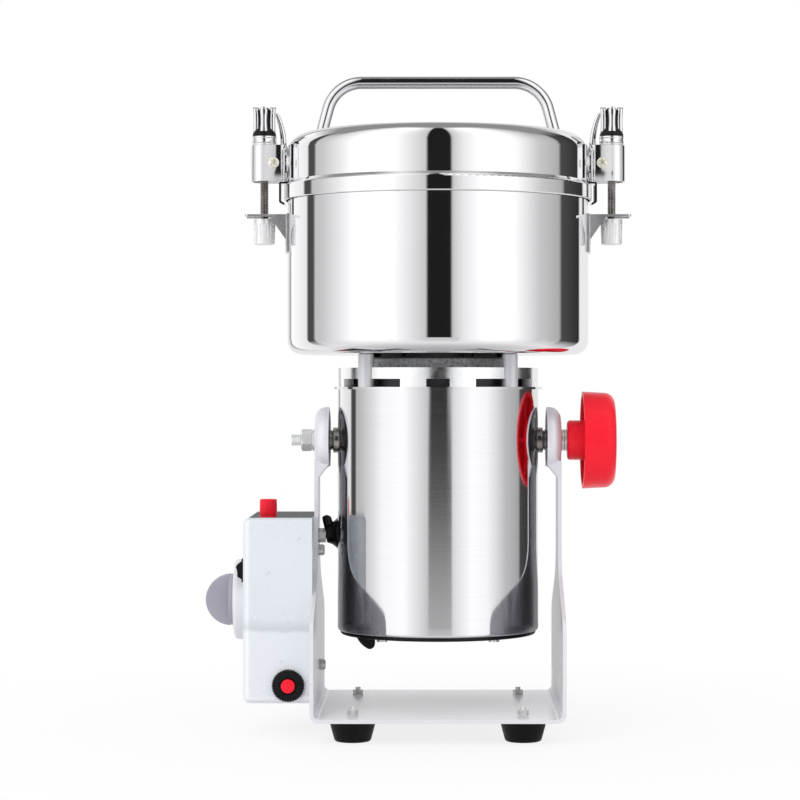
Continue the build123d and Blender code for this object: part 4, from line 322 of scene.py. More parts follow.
def box_plating():
    """Pale plated sheet with small marks, a paler foot, and a polished top coloured dark as a
    painted reflection.
    """
    surface, shader = new_material("box_chrome")
    tone = shader.cloudy(shader.noise(9, 4, (1, 1, 0.5)), (0.77, 0.81, 0.86), (0.8, 0.84, 0.89))
    wavy = shader.maths("MULTIPLY_ADD", shader.noise(22, 3), 0.012, shader.place()[2])
    line = shader.both(shader.above(wavy, BOX_LINE_START), shader.below(wavy, BOX_LINE_END))
    foot = shader.spread(wavy, 0.45, 0.0, *BOX_LINE_START)
    tone = shader.blend(foot, tone, (0.88, 0.9, 0.94))
    tone = shader.blend(shader.maths("MULTIPLY", line, 0.35), tone, (0.45, 0.47, 0.5))
    specks = shader.spread(shader.noise(95, 2), 0.0, 0.5, 0.7, 0.76)
    tone = shader.blend(specks, tone, (0.5, 0.52, 0.55))
    # Painted reflection: the upward face is coloured near black, a dark reflection painted into it.
    top = shader.above(shader.normal("Z"), (0.97, 0.99))
    shader.feed(surface, "Base Color", shader.blend(top, tone, (0.17, 0.17, 0.18)))
    shader.feed(surface, "Metallic", shader.mix(top, 0.15, 1.0))
    rough = shader.spread(shader.noise(35, 3), 0.25, 0.34)
    shader.feed(surface, "Roughness", shader.mix(top, rough, 0.12))
    shader.feed(surface, "Normal", shader.bump(shader.noise(14, 1), 0.0003, 0.3))


def end_casting():
    """End shield: turned bright at its rim, and near black inside its opening, partly as raw oily
    casting and partly as painted shade.
    """
    surface, shader = new_material("cast_alloy", 1.0)
    # Inside the opening the colour is near black: raw oily casting, and painted shade.
    oily_shaded_inside = shader.both(shader.below(shader.from_axis(), SHIELD_OPENING_R),
                         shader.below(shader.place()[2], SHIELD_FACE_Z))
    grain = shader.noise(220, 5)
    tone = shader.cloudy(grain, (0.8, 0.81, 0.83), (0.87, 0.88, 0.9))
    shader.feed(surface, "Base Color", shader.blend(oily_shaded_inside, tone, (0.07, 0.07, 0.075)))
    rough = shader.mix(oily_shaded_inside, shader.spread(grain, 0.12, 0.2), 0.5)
    shader.feed(surface, "Roughness", rough)
    shader.feed(surface, "Normal", shader.bump(grain, 0.00002, 0.4))


def grey_casting():
    """Sand-cast seat of the bowl, with the dark shadow line of its upper gap."""
    surface, shader = new_material("grey_casting", 0.85)
    grain = shader.noise(420, 6, roughness=0.7)
    tone = shader.cloudy(grain, (0.1, 0.1, 0.11), (0.68, 0.69, 0.7))
    uneven = shader.maths("MULTIPLY", grain, 0.001)
    edge = shader.maths("ADD", shader.place()[2], uneven)
    # Painted shadow: near black above an uneven line, where the seat's upper gap is in shade.
    gap_shadow = shader.spread(edge, 0.0, 0.9, *SEAT_GAP_Z)
    shader.feed(surface, "Base Color", shader.blend(gap_shadow, tone, (0.008, 0.008, 0.009)))
    shader.feed(surface, "Roughness", shader.spread(grain, 0.4, 0.7))
    shader.feed(surface, "Normal", shader.bump(grain, 0.0005, 0.9))


def plastic(name, low, high, roughness, specular):
    """Moulded plastic with a faint flow pattern and fine skin texture."""
    surface, shader = new_material(name, 0.0, Specular_IOR_Level=specular)
    shader.feed(surface, "Base Color", shader.cloudy(shader.noise(18, 3), low, high))
    rough = shader.spread(shader.noise(120, 4), roughness * 0.8, roughness * 1.25)
    shader.feed(surface, "Roughness", rough)
    ripple = shader.bump(shader.noise(35, 2), 0.0002, 0.12)
    shader.feed(surface, "Normal", shader.bump(shader.noise(900, 3), 0.00003, 0.35, ripple))


def rubber(name, low, high, specular):
    """Dull rubber with a little dust."""
    surface, shader = new_material(name, 0.0, Specular_IOR_Level=specular)
    dust = shader.noise(60, 5, roughness=0.65)
    shader.feed(surface, "Base Color", shader.cloudy(dust, low, high, 0.5, 0.85))
    shader.feed(surface, "Roughness", shader.spread(dust, 0.4, 0.65))
    shader.feed(surface, "Normal", shader.bump(shader.noise(700, 3), 0.00006, 0.5))


def banded(name, scale, distortion, direction, low, high, roughness, relief):
    """Metal with close parallel bands: stacked sheets or wound wire."""
    surface, shader = new_material(name, 0.9)
    where = shader.add("TexCoord").outputs["Object"]
    wave = shader.add("TexWave", {"Vector": where, "Scale": scale, "Distortion": distortion,
                                  "Detail": 1.5}, bands_direction=direction).outputs["Fac"]
    shader.feed(surface, "Base Color", shader.blend(wave, low, high))
    shader.feed(surface, "Roughness", shader.spread(shader.noise(80, 3), *roughness))
    shader.feed(surface, "Normal", shader.bump(wave, relief, 0.6))


def build_materials():
    """One material for each slot of the record, and a few finer finishes."""
    polished_steel()
    spun_lid()
    brushed_steel()
    stand_satin()
    box_plating()
    end_casting()
    grey_casting()
    metal("bright_chrome", (0.74, 0.74, 0.77), (0.82, 0.82, 0.84), (0.05, 0.1), wave=0.00012)
    metal("satin_bracket", (0.6, 0.6, 0.62), (0.72, 0.72, 0.74), (0.22, 0.34),
          wave=0.0001, wave_scale=60)
    metal("bright_nickel", (0.8, 0.8, 0.82), (0.9, 0.9, 0.91), (0.26, 0.36), shine=0.6)
    metal("satin_post", (0.62, 0.63, 0.66), (0.68, 0.69, 0.72), (0.4, 0.5), shine=0.35)
    metal("zinc_steel", (0.74, 0.78, 0.76), (0.9, 0.92, 0.89), (0.2, 0.32), cloud=140,
          wave=0.0001, wave_scale=160, shine=0.5)
    metal("cream_zinc", (0.78, 0.75, 0.64), (0.9, 0.87, 0.76), (0.2, 0.3), cloud=120,
          shine=0.7)
    metal("oiled_steel", (0.2, 0.18, 0.17), (0.48, 0.45, 0.43), (0.14, 0.26), cloud=90)
    metal("brass_fittings", (0.66, 0.46, 0.19), (0.8, 0.6, 0.28), (0.22, 0.36), cloud=90)
    plastic("red_plastic", (0.9, 0.006, 0.022), (0.97, 0.012, 0.034), 0.3, 0.25)
    plastic("black_plastic", (0.004, 0.004, 0.005), (0.01, 0.01, 0.011), 0.34, 0.18)
    plastic("grey_plastic", (0.34, 0.33, 0.39), (0.42, 0.41, 0.47), 0.32, 0.3)
    plastic("pale_plastic", (0.7, 0.71, 0.74), (0.78, 0.79, 0.82), 0.3, 0.3)
    plastic("glossy_rubber", (0.003, 0.003, 0.005), (0.008, 0.008, 0.011), 0.2, 0.35)
    rubber("black_rubber", (0.003, 0.003, 0.004), (0.014, 0.014, 0.017), 0.14)
    rubber("pale_rubber", (0.7, 0.7, 0.67), (0.8, 0.8, 0.78), 0.3)
    banded("core_iron", 320.0, 0.4, "Z", (0.16, 0.16, 0.18), (0.42, 0.42, 0.44),
           (0.35, 0.55), 0.0001)
    banded("copper_wire", 260.0, 1.5, "DIAGONAL", (0.3, 0.1, 0.04), (0.75, 0.34, 0.16),
           (0.25, 0.45), 0.0002)


NODE_FINISH = {
    "motor_housing": "brushed_steel", "lid": "spun_lid", "bowl_brackets": "satin_bracket",
    "support_posts": "satin_post", "tension_nut_left": "bright_nickel",
    "tension_nut_right": "bright_nickel",
}


def dress_cad_nodes():
    """Gives every CAD node the material of its slot in the record, or its own finish."""
    for entry in frame["record"]["subparts"]:
        finish = NODE_FINISH.get(entry["node"], entry["material_slot"])
        materials = NODES[entry["node"]].data.materials
        materials.clear()
        materials.append(MATERIALS[finish])


# ---- mesh helpers -----------------------------------------------------------------------
def at(x, y, z):
    """A point in metres in the row's frame, from millimetres about the mill's axis."""
    return Vector(((x + MILL_X) * MM, y * MM, z * MM))


def mill_box(node):
    """A CAD node's lowest and highest corners in millimetres about the mill's axis."""
    low, high = (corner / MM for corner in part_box(node))
    shift = Vector((MILL_X, 0, 0))
    return low - shift, high - shift


def angles(count):
    return [TURN * i / count for i in range(count)]


def about(axis, centre, u, v, height):
    """A point at u and v across an axis through centre, and at a height along it."""
    offset = {"X": (height, u, v), "Y": (u, height, v), "Z": (u, v, height)}[axis]
    return tuple(a + b for a, b in zip(centre, offset))


def squarish(count, power):
    """Points of a rounded square that reaches 1 on each axis."""
    def flatten(value):
        return math.copysign(abs(value) ** power, value)
    return [(flatten(math.cos(angle)), flatten(math.sin(angle))) for angle in angles(count)]


def loft(rings, closed=True, caps=False):
    """Vertices and faces of a skin through rings that hold the same number of points."""
    count = len(rings[0])
    points = [point for ring in rings for point in ring]
    faces = []
    for row in range(len(rings) - 1):
        near, far = row * count, (row + 1) * count
        for i in range(count if closed else count - 1):
            j = (i + 1) % count
            faces.append((near + i, near + j, far + j, far + i))
    if caps:
        faces.append(tuple(reversed(range(count))))
        faces.append(tuple((len(rings) - 1) * count + i for i in range(count)))
    return points, faces


def turned(profile, segments=72, axis="Z", centre=(0, 0, 0)):
    """A skin turned about an axis through centre, from (radius, height) pairs in a loop."""
    return loft([[about(axis, centre, radius * math.cos(a), radius * math.sin(a), height)
                  for a in angles(segments)] for radius, height in [*profile, profile[0]]])


def rounded(corners, radius, steps=4):
    """A closed outline with each corner turned into a short arc."""
    outline = []
    for i, corner in enumerate(corners):
        here = Vector(corner)
        before = Vector(corners[i - 1]) - here
        after = Vector(corners[(i + 1) % len(corners)]) - here
        reach = min(radius, before.length * 0.45, after.length * 0.45)
        start = here + before.normalized() * reach
        end = here + after.normalized() * reach
        for step in range(steps + 1):
            t = step / steps
            outline.append(tuple((1 - t) ** 2 * start + 2 * t * (1 - t) * here + t ** 2 * end))
    return outline


def threaded(radius, depth, pitch, start, end, axis, centre, segments=32):
    """A screw thread between two heights, running out at both ends, with flat end faces."""
    rows = max(2, int((end - start) / pitch * 6))
    rings = [[about(axis, centre, 0, 0, start)] * segments]
    for row in range(rows + 1):
        height = start + (end - start) * row / rows
        fade = min(1.0, (height - start) / pitch, (end - height) / pitch)
        ring = []
        for i, angle in enumerate(angles(segments)):
            phase = (height / pitch - i / segments) % 1.0
            ridge = 1 - abs(2 * phase - 1)
            dip = depth * (ridge * (0.35 + 0.65 * fade) + 0.35 * (1 - fade))
            u, v = (radius - dip) * math.cos(angle), (radius - dip) * math.sin(angle)
            ring.append(about(axis, centre, u, v, height))
        rings.append(ring)
    rings.append([about(axis, centre, 0, 0, end)] * segments)
    return loft(rings)


def hex_nut(across, bore, start, end, axis, centre, segments=96):
    """A hexagon nut whose corners are cut back by a cone at both ends."""
    length = end - start
    rows = [0.0, 0.2, 0.45, 0.8, 1.2]
    rings = []
    for height in rows + [length - row for row in reversed(rows)]:
        reach = across / 2 * 0.97 + min(height, length - height) * 1.7
        ring = []
        for angle in angles(segments):
            turn = (angle + NUT_TURN + TURN / 12) % (TURN / 6) - TURN / 12
            ring.append((min(across / 2 / math.cos(turn), reach), angle, start + height))
        rings.append(ring)
    for height in (end, start):
        rings.append([(bore, angle, height) for angle in angles(segments)])
    rings.append(rings[0])
    return loft([[about(axis, centre, radius * math.cos(angle), radius * math.sin(angle), height)
                  for radius, angle, height in ring] for ring in rings])


def make_piece(name, skins, finish, body, replaced=(), sharp=32, flip=False):
    """One mesh piece from several skins, smooth but for its edges, riding on its body."""
    mesh = bpy.data.meshes.new(name)
    points, faces = [], []
    for skin_points, skin_faces in skins:
        base = len(points)
        points += [at(-x if flip else x, y, z) for x, y, z in skin_points]
        faces += [tuple(base + i for i in face) for face in skin_faces]
    mesh.from_pydata(points, [], faces)
    work = bmesh.new()
    work.from_mesh(mesh)
    bmesh.ops.remove_doubles(work, verts=work.verts, dist=1e-6)
    bmesh.ops.dissolve_degenerate(work, edges=work.edges, dist=1e-7)
    bmesh.ops.recalc_face_normals(work, faces=work.faces)
    work.to_mesh(mesh)
    work.free()
    mesh.shade_smooth()
    mesh.set_sharp_from_angle(angle=math.radians(sharp))
    mesh.materials.append(MATERIALS[finish])
    piece = bpy.data.objects.new(name, mesh)
    bpy.context.scene.collection.objects.link(piece)
    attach(piece, body)
    if replaced:
        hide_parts(*replaced)


# ---- pivot hardware ---------------------------------------------------------------------
def on_pivot(corners, edge, steps=4):
    return turned(rounded(corners, edge, steps), axis="X", centre=PIVOT_CENTRE)


def washer(outer, start, end):
    return on_pivot([(STUD_R, start), (outer, start), (outer, end), (STUD_R, end)], 0.3)


def pivot_spacer():
    """Grooved bush: a flange at the housing, three ribs and a collar at the ear."""
    return on_pivot([(STUD_R, 66.0), (8.5, 66.0), (8.5, 69.6), (6.5, 69.9), (6.5, 70.9),
                     (7.4, 71.2), (7.4, 72.3), (6.4, 72.6), (6.4, 73.6), (7.4, 73.9),
                     (7.4, 75.0), (6.5, 75.3), (6.5, 76.0), (7.7, 76.2), (7.7, 78.9),
                     (STUD_R, 78.9)], 0.35, 3)


def stud_shank():
    """The stud's head inside the housing and its plain part, up to the thread."""
    return on_pivot([(0.0, 62.0), (6.9, 62.0), (6.9, 64.5), (STUD_R, 64.6),
                     (STUD_R, STUD_THREAD_START), (0.0, STUD_THREAD_START)], 0.2, 2)


def build_pivots():
    low, high = mill_box("pivot_studs")
    for side, tip in (("left", -low.x), ("right", high.x)):
        flip = side == "left"
        thread = threaded(STUD_R, 0.62, STUD_PITCH, STUD_THREAD_START, tip, "X",
                          PIVOT_CENTRE, 48)
        make_piece("pivot_stud_" + side, [stud_shank(), thread], "zinc_steel",
                   "mill", ["pivot_studs"], flip=flip)
        make_piece("pivot_spacer_" + side, [pivot_spacer()], "oiled_steel",
                   "mill", ["pivot_washers"], flip=flip)
    nut = hex_nut(13.0, STUD_R, 83.7, 91.0, "X", PIVOT_CENTRE)
    pair = [washer(7.15, 82.05, 83.95), washer(7.15, 84.05, 85.95)]
    for name, skins, flip in (("pivot_nut", [nut], True),
                              ("pivot_washer_left", [washer(7.3, 82.0, 83.5)], True),
                              ("pivot_washers_right", pair, False)):
        make_piece(name, skins, "zinc_steel", "mill", ["pivot_washers"],
                   flip=flip)


# ---- clamps -----------------------------------------------------------------------------
def yoke_path():
    """The yoke's plan from one leg's end round the nose to the other, a little crowned."""
    flat_in, flat_out, half, nose_r = 101.6, 115.5, 12.0, 9.0
    path = []
    for i in range(13):
        t = i / 12
        crown = 0.85 * math.sin(math.pi * t ** 0.6)
        path.append((flat_in + (flat_out - flat_in) * t, -half - crown))
    for i in range(1, 13):
        angle = QUARTER_TURN * (i / 12 - 1)
        path.append((flat_out + nose_r * math.cos(angle),
                     -half + nose_r + nose_r * math.sin(angle)))
    return path + [(x, -y) for x, y in reversed(path)]


def yoke_skin():
    """Sheet 1.5 thick and 24 high with rounded edges, swept along the yoke's plan."""
    path = yoke_path()
    section = rounded([(0.0, 364.8), (0.0, 388.8), (1.5, 388.8), (1.5, 364.8)], 0.35, 3)
    rings = []
    for i, (x, y) in enumerate(path):
        ahead = Vector(path[min(i + 1, len(path) - 1)]) - Vector(path[max(i - 1, 0)])
        inward = Vector((-ahead.y, ahead.x)).normalized()
        rings.append([(x + inward.x * depth, y + inward.y * depth, z) for depth, z in section])
    return loft(rings, caps=True)


def blunt(t, start, least):
    """Narrows a tip to a round end: 1 up to start, then down an arc to a small remainder."""
    return 1.0 if t < start else math.sqrt(max(least, 1 - ((t - start) / (1 - start)) ** 2))


def horn_skin():
    """Tapered tongue behind the knob, half round in section, that leans out at its tip."""
    rings = []
    for i in range(25):
        t = i / 24
        x = 103.9 - 2.4 * t + 7.0 * t * t
        half = 2.3 * (1 - 0.32 * t) * blunt(t, 0.88, 0.02)
        ring = []
        for angle in angles(16):
            bulge = 1.05 if math.sin(angle) < 0 else 0.5
            ring.append((x + half * math.cos(angle), 11.1 + bulge * math.sin(angle),
                         386.0 + 26.3 * t))
        rings.append(ring)
    return loft(rings, caps=True)


def finger_skin(turn):
    """Upright finger of the knob: squarish, waisted, with a full round top that flares out."""
    root, top = 398.4, 414.7
    rings = []
    for i in range(29):
        t = i / 28
        half = 2.55 - 0.4 * math.sin(math.pi * min(1.0, t * 1.2))
        half *= blunt(t, 0.84, 0.03)
        middle = 5.45 - 0.35 * math.sin(math.pi * t) + 0.25 * t
        ring = []
        for across, along in squarish(20, 0.7):
            u, v = middle + 2.05 * across, half * along
            ring.append(about("Z", CLAMP_ROD, u * math.cos(turn) - v * math.sin(turn),
                              u * math.sin(turn) + v * math.cos(turn),
                              root + (top - root) * t))
        rings.append(ring)
    return loft(rings, caps=True)


def knob_core_skin():
    """Black dome and stem that carry the fingers."""
    corners = [(2.95, 395.2), (7.9, 395.2), (7.9, 396.4), (7.2, 398.4), (5.4, 400.2),
               (4.3, 400.9), (3.7, 402.2), (3.7, 412.6), (3.0, 414.2), (1.2, 414.6),
               (0.0, 414.6), (0.0, 408.8), (2.95, 408.8)]
    return turned(rounded(corners, 0.9, 3), centre=CLAMP_ROD)


def knob_collar_skin():
    """Grooved metal collar that turns just clear of the swivel block."""
    corners = [(2.95, 390.68), (8.3, 390.68), (8.3, 391.9), (8.05, 392.2), (8.05, 393.8),
               (8.3, 394.1), (8.3, 395.2), (2.95, 395.2)]
    return turned(rounded(corners, 0.35, 3), centre=CLAMP_ROD)


def cross_head_skin():
    """Domed screw head with a cross recess, in front of the yoke's pivot screw."""
    head_r, rim_y, crown_y, seat_y = 3.6, 12.9, 15.1, 12.2
    arm, edge, reach, run_out, deep = 0.62, 0.2, 2.6, 0.25, 1.1
    radii = [3.5, 3.3, 3.0, 2.7, *(2.5 - 0.2 * i for i in range(12)), 0.0]
    rings = []
    for row, radius in enumerate([head_r, head_r, *radii]):
        ring = []
        for angle in angles(96):
            u = radius * math.cos(angle + QUARTER_TURN / 2)
            v = radius * math.sin(angle + QUARTER_TURN / 2)
            across = max(0.0, min(1.0, (arm - min(abs(u), abs(v))) / edge + 0.5))
            inside = across * max(0.0, min(1.0, (reach - radius) / run_out))
            front = crown_y - 1.2 * (radius / head_r) ** 3 - deep * inside
            if row < 2:
                front = (seat_y, rim_y)[row]
            ring.append((YOKE_PIVOT[0] + radius * math.cos(angle), -front,
                         YOKE_PIVOT[1] + radius * math.sin(angle)))
        rings.append(ring)
    points, faces = loft(rings)
    return points, faces + [tuple(range(96))]


def build_clamps():
    sides = ("left", "right")
    fingers = [finger_skin(QUARTER_TURN * i) for i in range(4)]
    for side in sides:
        low, high = mill_box("clamp_rod_" + side)
        thread = threaded((high.y - low.y) / 2, 0.5, ROD_PITCH, low.z, high.z, "Z", CLAMP_ROD)
        knob, body = ["clamp_knob_" + side], "knob_" + side
        for name, skins, finish, slot, rider, replaced in (
            ("yoke_", [yoke_skin(), horn_skin()], "bright_chrome", "bright_chrome",
             "lid_group", ["clamp_yokes"]),
            ("knob_collar_", [knob_collar_skin()], "bright_chrome", "bright_chrome", body, knob),
            ("knob_core_", [knob_core_skin()], "black_plastic", "black_plastic", body, knob),
            ("knob_fingers_", fingers, "bright_chrome", "bright_chrome", body, knob),
            ("clamp_thread_", [thread], "oiled_steel", "zinc_steel", "rod_" + side,
             ["clamp_rod_" + side]),
        ):
            make_piece(name + side, skins, finish, rider, replaced, flip=side == "left")
    for side in sides:
        make_piece("yoke_screw_" + side, [cross_head_skin()], "cream_zinc",
                   "lid_group", flip=side == "left")


# ---- lid's crease and housing's rim -----------------------------------------------------
def build_rims():
    """The bend between the lid's wall and its step, and the housing's rolled lower end."""
    crease = [(98.9, 364.82), (99.9, 363.62), (100.75, 362.6), (98.9, 362.6)]
    make_piece("lid_crease", [turned(crease, 192)], "spun_lid", "lid_group",
               sharp=40)
    tube_r, roll_z = 66.85, 69.0
    arc = [QUARTER_TURN * i / 8 for i in range(9)]
    roll = [(tube_r - 1.8 * (1 - math.cos(a)), roll_z - 2.0 * math.sin(a)) for a in arc]
    rim = [(65.8, 73.5), (tube_r, 73.5), *roll, (64.0, 67.0), (64.0, roll_z)]
    make_piece("housing_rim", [turned(rim, 192)], "brushed_steel", "mill",
               sharp=50)


# ---- buttons, knurled ring, feet and boot -----------------------------------------------
def build_buttons():
    low, high = mill_box("start_button")
    middle = (low + high) / 2
    cap = [(0.0, low.z), (5.9, low.z), (5.85, high.z - 5), (5.7, high.z), (4.6, high.z),
           (4.3, high.z - 0.5), (0.0, high.z - 0.6)]
    skin = turned(rounded(cap, 0.5, 3), centre=(middle.x, middle.y, 0))
    make_piece("start_cap", [skin], "red_plastic", "start_key", ["start_button"])

    low, high = mill_box("reset_button")
    middle = (low + high) / 2
    key = [(0.0, high.y), (4.5, high.y), (4.5, low.y + 1.2)]
    key += [(4.5 - 1.3 * (1 - math.cos(a)), low.y + 1.2 - 0.9 * math.sin(a))
            for a in (QUARTER_TURN * i / 6 for i in range(1, 7))]
    key += [(2.6, low.y + 0.12), (1.4, low.y + 0.02), (0.0, low.y)]
    skin = turned(key, axis="Y", centre=(middle.x, 0, middle.z))
    make_piece("reset_cap", [skin], "red_plastic", "reset_key", ["reset_button"])


def build_knurled_ring():
    """Ring nut of the overload protector, toothed round its rim."""
    low, high = mill_box("overload_ring")
    middle = (low + high) / 2
    rim = [(0.0, high.y), (0.0, high.y - 0.4), (0.0, low.y + 0.6), (0.7, low.y)]
    bore = [(5.6, low.y), (5.4, low.y + 0.5), (5.4, high.y)]
    rings = []
    for size, y in rim + bore:
        ring = []
        for angle in angles(288):
            tooth = 0.5 - 0.5 * math.cos(RING_TEETH * angle)
            radius = size if size > 1 else RING_R - TOOTH_DEPTH * tooth ** 2 - size
            ring.append((middle.x + radius * math.cos(angle), y,
                         middle.z + radius * math.sin(angle)))
        rings.append(ring)
    make_piece("knurled_ring", [loft(rings + [rings[0]])], "black_plastic",
               "stand", ["overload_ring"])


def build_feet():
    """Tapered feet with a rounded lower edge and a recess for the screw's head."""
    profile = [(0.0, 7.5), (6.0, 7.5), (6.0, 0.8), (6.6, 0.0)]
    for step in range(7):
        angle = -QUARTER_TURN + math.radians(76) * step / 6
        profile.append((9.9 + 2.2 * math.cos(angle), 2.2 + 2.2 * math.sin(angle)))
    profile += [(15.2, 13.4), (FOOT_TOP_R, 14.0), (FOOT_TOP_R, 14.5), (0.0, 14.5)]
    low, high = mill_box("rubber_feet")
    skins = [turned(profile, 64, centre=(x, y, 0))
             for x in (low.x + FOOT_TOP_R, high.x - FOOT_TOP_R)
             for y in (low.y + FOOT_TOP_R, high.y - FOOT_TOP_R)]
    make_piece("moulded_feet", skins, "black_rubber", "stand", ["rubber_feet"],
               sharp=50)


def build_boot():
    """Rubber boot over the motor's lead: a stepped cone on the housing and an upright lobe."""
    cone = [(4.0, -65.6), (10.5, -65.6), (10.5, -66.9), (8.8, -68.7), (7.4, -70.6),
            (6.7, -72.6), (6.4, -74.2), (4.0, -74.2)]
    lobe = []
    for i in range(17):
        t = i / 16
        x = LOBE_FOOT[0] - 2.7 * min(1.0, t * 1.2)
        swell = math.sqrt(max(0.05, 1 - max(0.0, (t - 0.8) / 0.2) ** 2))
        lobe.append([(x + (3.6 - 0.5 * t) * swell * u, BOOT_CENTRE[1] + 3.3 * swell * v,
                      LOBE_FOOT[1] + LOBE_HEIGHT * t) for u, v in squarish(24, 0.8)])
    skins = [turned(rounded(cone, 0.7, 3), axis="X", centre=BOOT_CENTRE), loft(lobe, caps=True)]
    make_piece("rubber_boot", skins, "glossy_rubber", "mill", ["motor_boot"])


# ---- timer dial's scale -----------------------------------------------------------------
def build_dial_marks():
    """Short raised strokes round the timer knob, one a minute and a longer one each fifth."""
    low, high = mill_box("timer_dial")
    middle = (low.z + high.z) / 2
    skins = []
    for i in range(DIAL_STROKES):
        angle = math.radians(DIAL_START - i * DIAL_SWEEP / (DIAL_STROKES - 1))
        inner, half = (19.4, 0.45) if i % 5 == 0 else (21.0, 0.28)
        along = Vector((math.cos(angle), math.sin(angle)))
        across = Vector((-along.y, along.x)) * half
        corners = [along * inner - across, along * 23.0 - across, along * 23.0 + across,
                   along * inner + across]
        outline = rounded([tuple(corner) for corner in corners], 0.2, 2)
        rings = [[(low.x + lift, -u, middle + v) for u, v in outline] for lift in (0.2, -0.12)]
        skins.append(loft(rings, caps=True))
    make_piece("dial_marks", skins, "black_plastic", "stand")


# ---- studio -----------------------------------------------------------------------------
def add_object(name, data):
    item = bpy.data.objects.new(name, data)
    bpy.context.scene.collection.objects.link(item)
    return item


def build_camera():
    data = bpy.data.cameras.new("camera")
    data.sensor_width = SENSOR_WIDTH
    data.lens = FOCAL_PIXELS / IMAGE_SIZE * SENSOR_WIDTH
    data.shift_x = (IMAGE_SIZE / 2 - AXIS_PIXEL[0]) / IMAGE_SIZE
    data.shift_y = (AXIS_PIXEL[1] - IMAGE_SIZE / 2) / IMAGE_SIZE
    data.clip_start = 0.05
    camera = add_object("camera", data)
    camera.location = (MILL_X * MM, -CAMERA_DISTANCE, EYE_HEIGHT)
    camera.rotation_euler = (QUARTER_TURN, 0, 0)
    bpy.context.scene.camera = camera


def ring_level(shader, x, y, z):
    """Brightness by heading, from the list above, with the dark strip in front."""
    heading = shader.maths("ARCTAN2", x, shader.maths("MULTIPLY", y, -1.0))
    degrees_off = shader.maths("MULTIPLY", heading, 360 / TURN)
    under = shader.below(z, STRIP_TURNOVER)
    left = shader.mix(under, STRIP_ABOVE[0], STRIP_BELOW[0])
    right = shader.mix(under, STRIP_ABOVE[1], STRIP_BELOW[1])
    room = shader.maths("MINIMUM", shader.maths("SUBTRACT", degrees_off, left),
                        shader.maths("SUBTRACT", right, degrees_off))
    strip = shader.above(room, (-STRIP_EDGE, STRIP_EDGE))
    around = shader.maths("MULTIPLY_ADD", heading, 1 / TURN, 0.5)
    ramp = shader.add("ValToRGB", {"Fac": around})
    stops = ramp.color_ramp.elements
    while len(stops) < len(STUDIO_RING):
        stops.new(0.5)
    for stop, (degrees, _) in zip(stops, STUDIO_RING):
        stop.position = degrees / 360 + 0.5
    for stop, (_, level) in zip(stops, STUDIO_RING):
        stop.color = (*[level / RING_TOP] * 3, 1.0)
    level = shader.maths("MULTIPLY", ramp.outputs[0], RING_TOP)
    floor_lit = shader.spread(z, STRIP_FLOOR_LEVEL, STRIP_LEVEL, *STRIP_FLOOR_RISE)
    return shader.mix(strip, level, floor_lit)


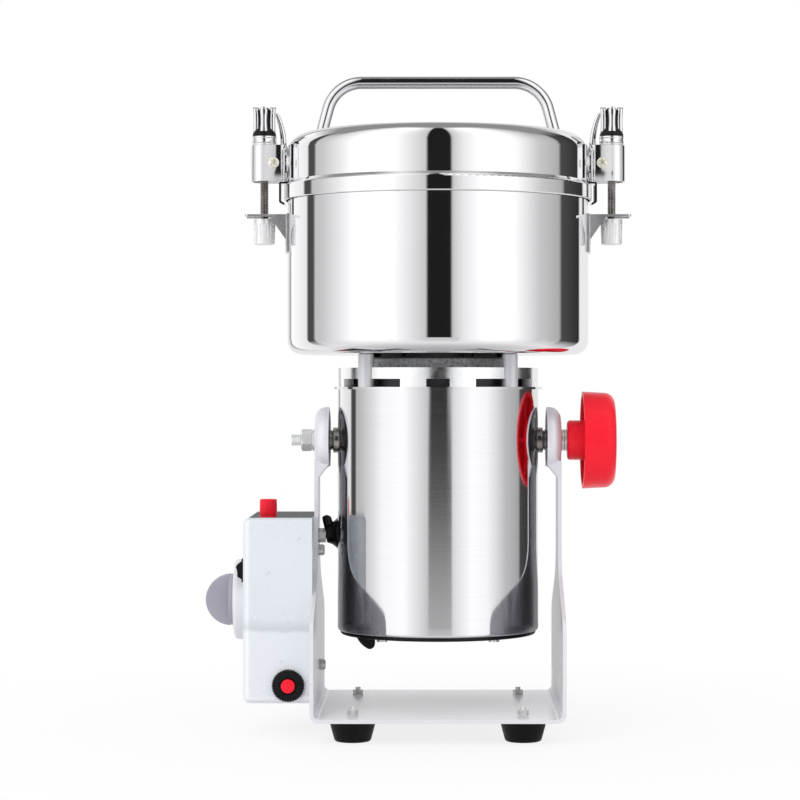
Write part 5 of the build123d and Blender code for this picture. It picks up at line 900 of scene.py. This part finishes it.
def build_world():
    """White to the camera, plain fill on dull surfaces, and softboxes in polished ones."""
    world = bpy.data.worlds.new("studio")
    bpy.context.scene.world = world
    world.use_nodes = True
    shader = Shader(world.node_tree)
    shader.nodes.clear()
    x, y, z = shader.split(shader.add("TexCoord").outputs["Generated"])
    studio = ring_level(shader, x, y, z)
    studio = shader.mix(shader.below(z, FLOOR_RISE), studio, FLOOR_LEVEL)
    studio = shader.mix(shader.below(z, (-1.0, FLOOR_RISE[0])), studio, NADIR_LEVEL)
    behind = shader.above(y, BEHIND)
    cover = shader.maths("MAXIMUM", shader.above(z, FRONT_CEILING),
                         shader.both(shader.above(z, BACK_CEILING), behind))
    studio = shader.mix(cover, studio, CEILING_LEVEL)
    aside = shader.maths("ABSOLUTE", shader.maths("SUBTRACT", x, CARD_MIDDLE))
    card = shader.both(shader.both(behind, shader.below(aside, CARD_HALF_WIDTH)),
                       shader.both(shader.above(z, CARD_BOTTOM), shader.below(z, CARD_TOP)))
    studio = shader.mix(card, studio, CARD_LEVEL)
    path = shader.add("LightPath").outputs
    level = shader.mix(path["Is Glossy Ray"], FILL_LEVEL, studio)
    seen = shader.maths("MAXIMUM", path["Is Camera Ray"], path["Is Transmission Ray"])
    level = shader.mix(seen, level, 1.0)
    background = shader.add("Background", {"Color": (1, 1, 1, 1), "Strength": level})
    output = shader.add("OutputWorld")
    shader.links.new(background.outputs[0], output.inputs["Surface"])


def build_floor():
    """Pale floor that keeps a soft contact shadow and fades to plain white further out."""
    mesh = bpy.data.meshes.new("floor")
    corners = [(x * FLOOR_HALF, y * FLOOR_HALF, 0) for x, y in ((-1, -1), (1, -1), (1, 1), (-1, 1))]
    mesh.from_pydata(corners, [], [(0, 1, 2, 3)])
    material = bpy.data.materials.new("floor")
    material.use_nodes = True
    shader = Shader(material.node_tree)
    shader.nodes.clear()
    path = shader.add("LightPath").outputs
    x, y, _ = shader.place()
    share = shader.spread(shader.length(x, y), *FLOOR_GLOW, *FLOOR_FADE)
    share = shader.both(share, path["Is Camera Ray"])
    cloth = shader.add("BsdfDiffuse", {"Color": (0.93, 0.93, 0.93, 1)})
    glow = shader.add("Emission", {"Color": (1, 1, 1, 1), "Strength": 1.0})
    seen = shader.add("MixShader", {0: share, 1: cloth.outputs[0], 2: glow.outputs[0]})
    mirrored = shader.maths("MAXIMUM", path["Is Glossy Ray"], path["Is Transmission Ray"])
    clear = shader.add("BsdfTransparent")
    mixed = shader.add("MixShader", {0: mirrored, 1: seen.outputs[0], 2: clear.outputs[0]})
    output = shader.add("OutputMaterial")
    shader.links.new(mixed.outputs[0], output.inputs["Surface"])
    mesh.materials.append(material)
    add_object("floor", mesh)


def build_key_lamp():
    """Soft lamp up on the left that the polished faces don't mirror."""
    data = bpy.data.lights.new("key_lamp", "AREA")
    data.shape = "DISK"
    data.size = LAMP_SIZE
    data.energy = LAMP_POWER
    lamp = add_object("key_lamp", data)
    lamp.location = LAMP_PLACE
    aim = Vector(LAMP_TARGET) - Vector(LAMP_PLACE)
    lamp.rotation_euler = aim.to_track_quat("-Z", "Y").to_euler()
    lamp.visible_glossy = False


bpy.context.scene.view_settings.view_transform = "Standard"
build_camera()
build_world()
build_floor()
build_key_lamp()
build_materials()
dress_cad_nodes()
build_pivots()
build_clamps()
build_rims()
build_buttons()
build_feet()
build_knurled_ring()
build_boot()
build_dial_marks()
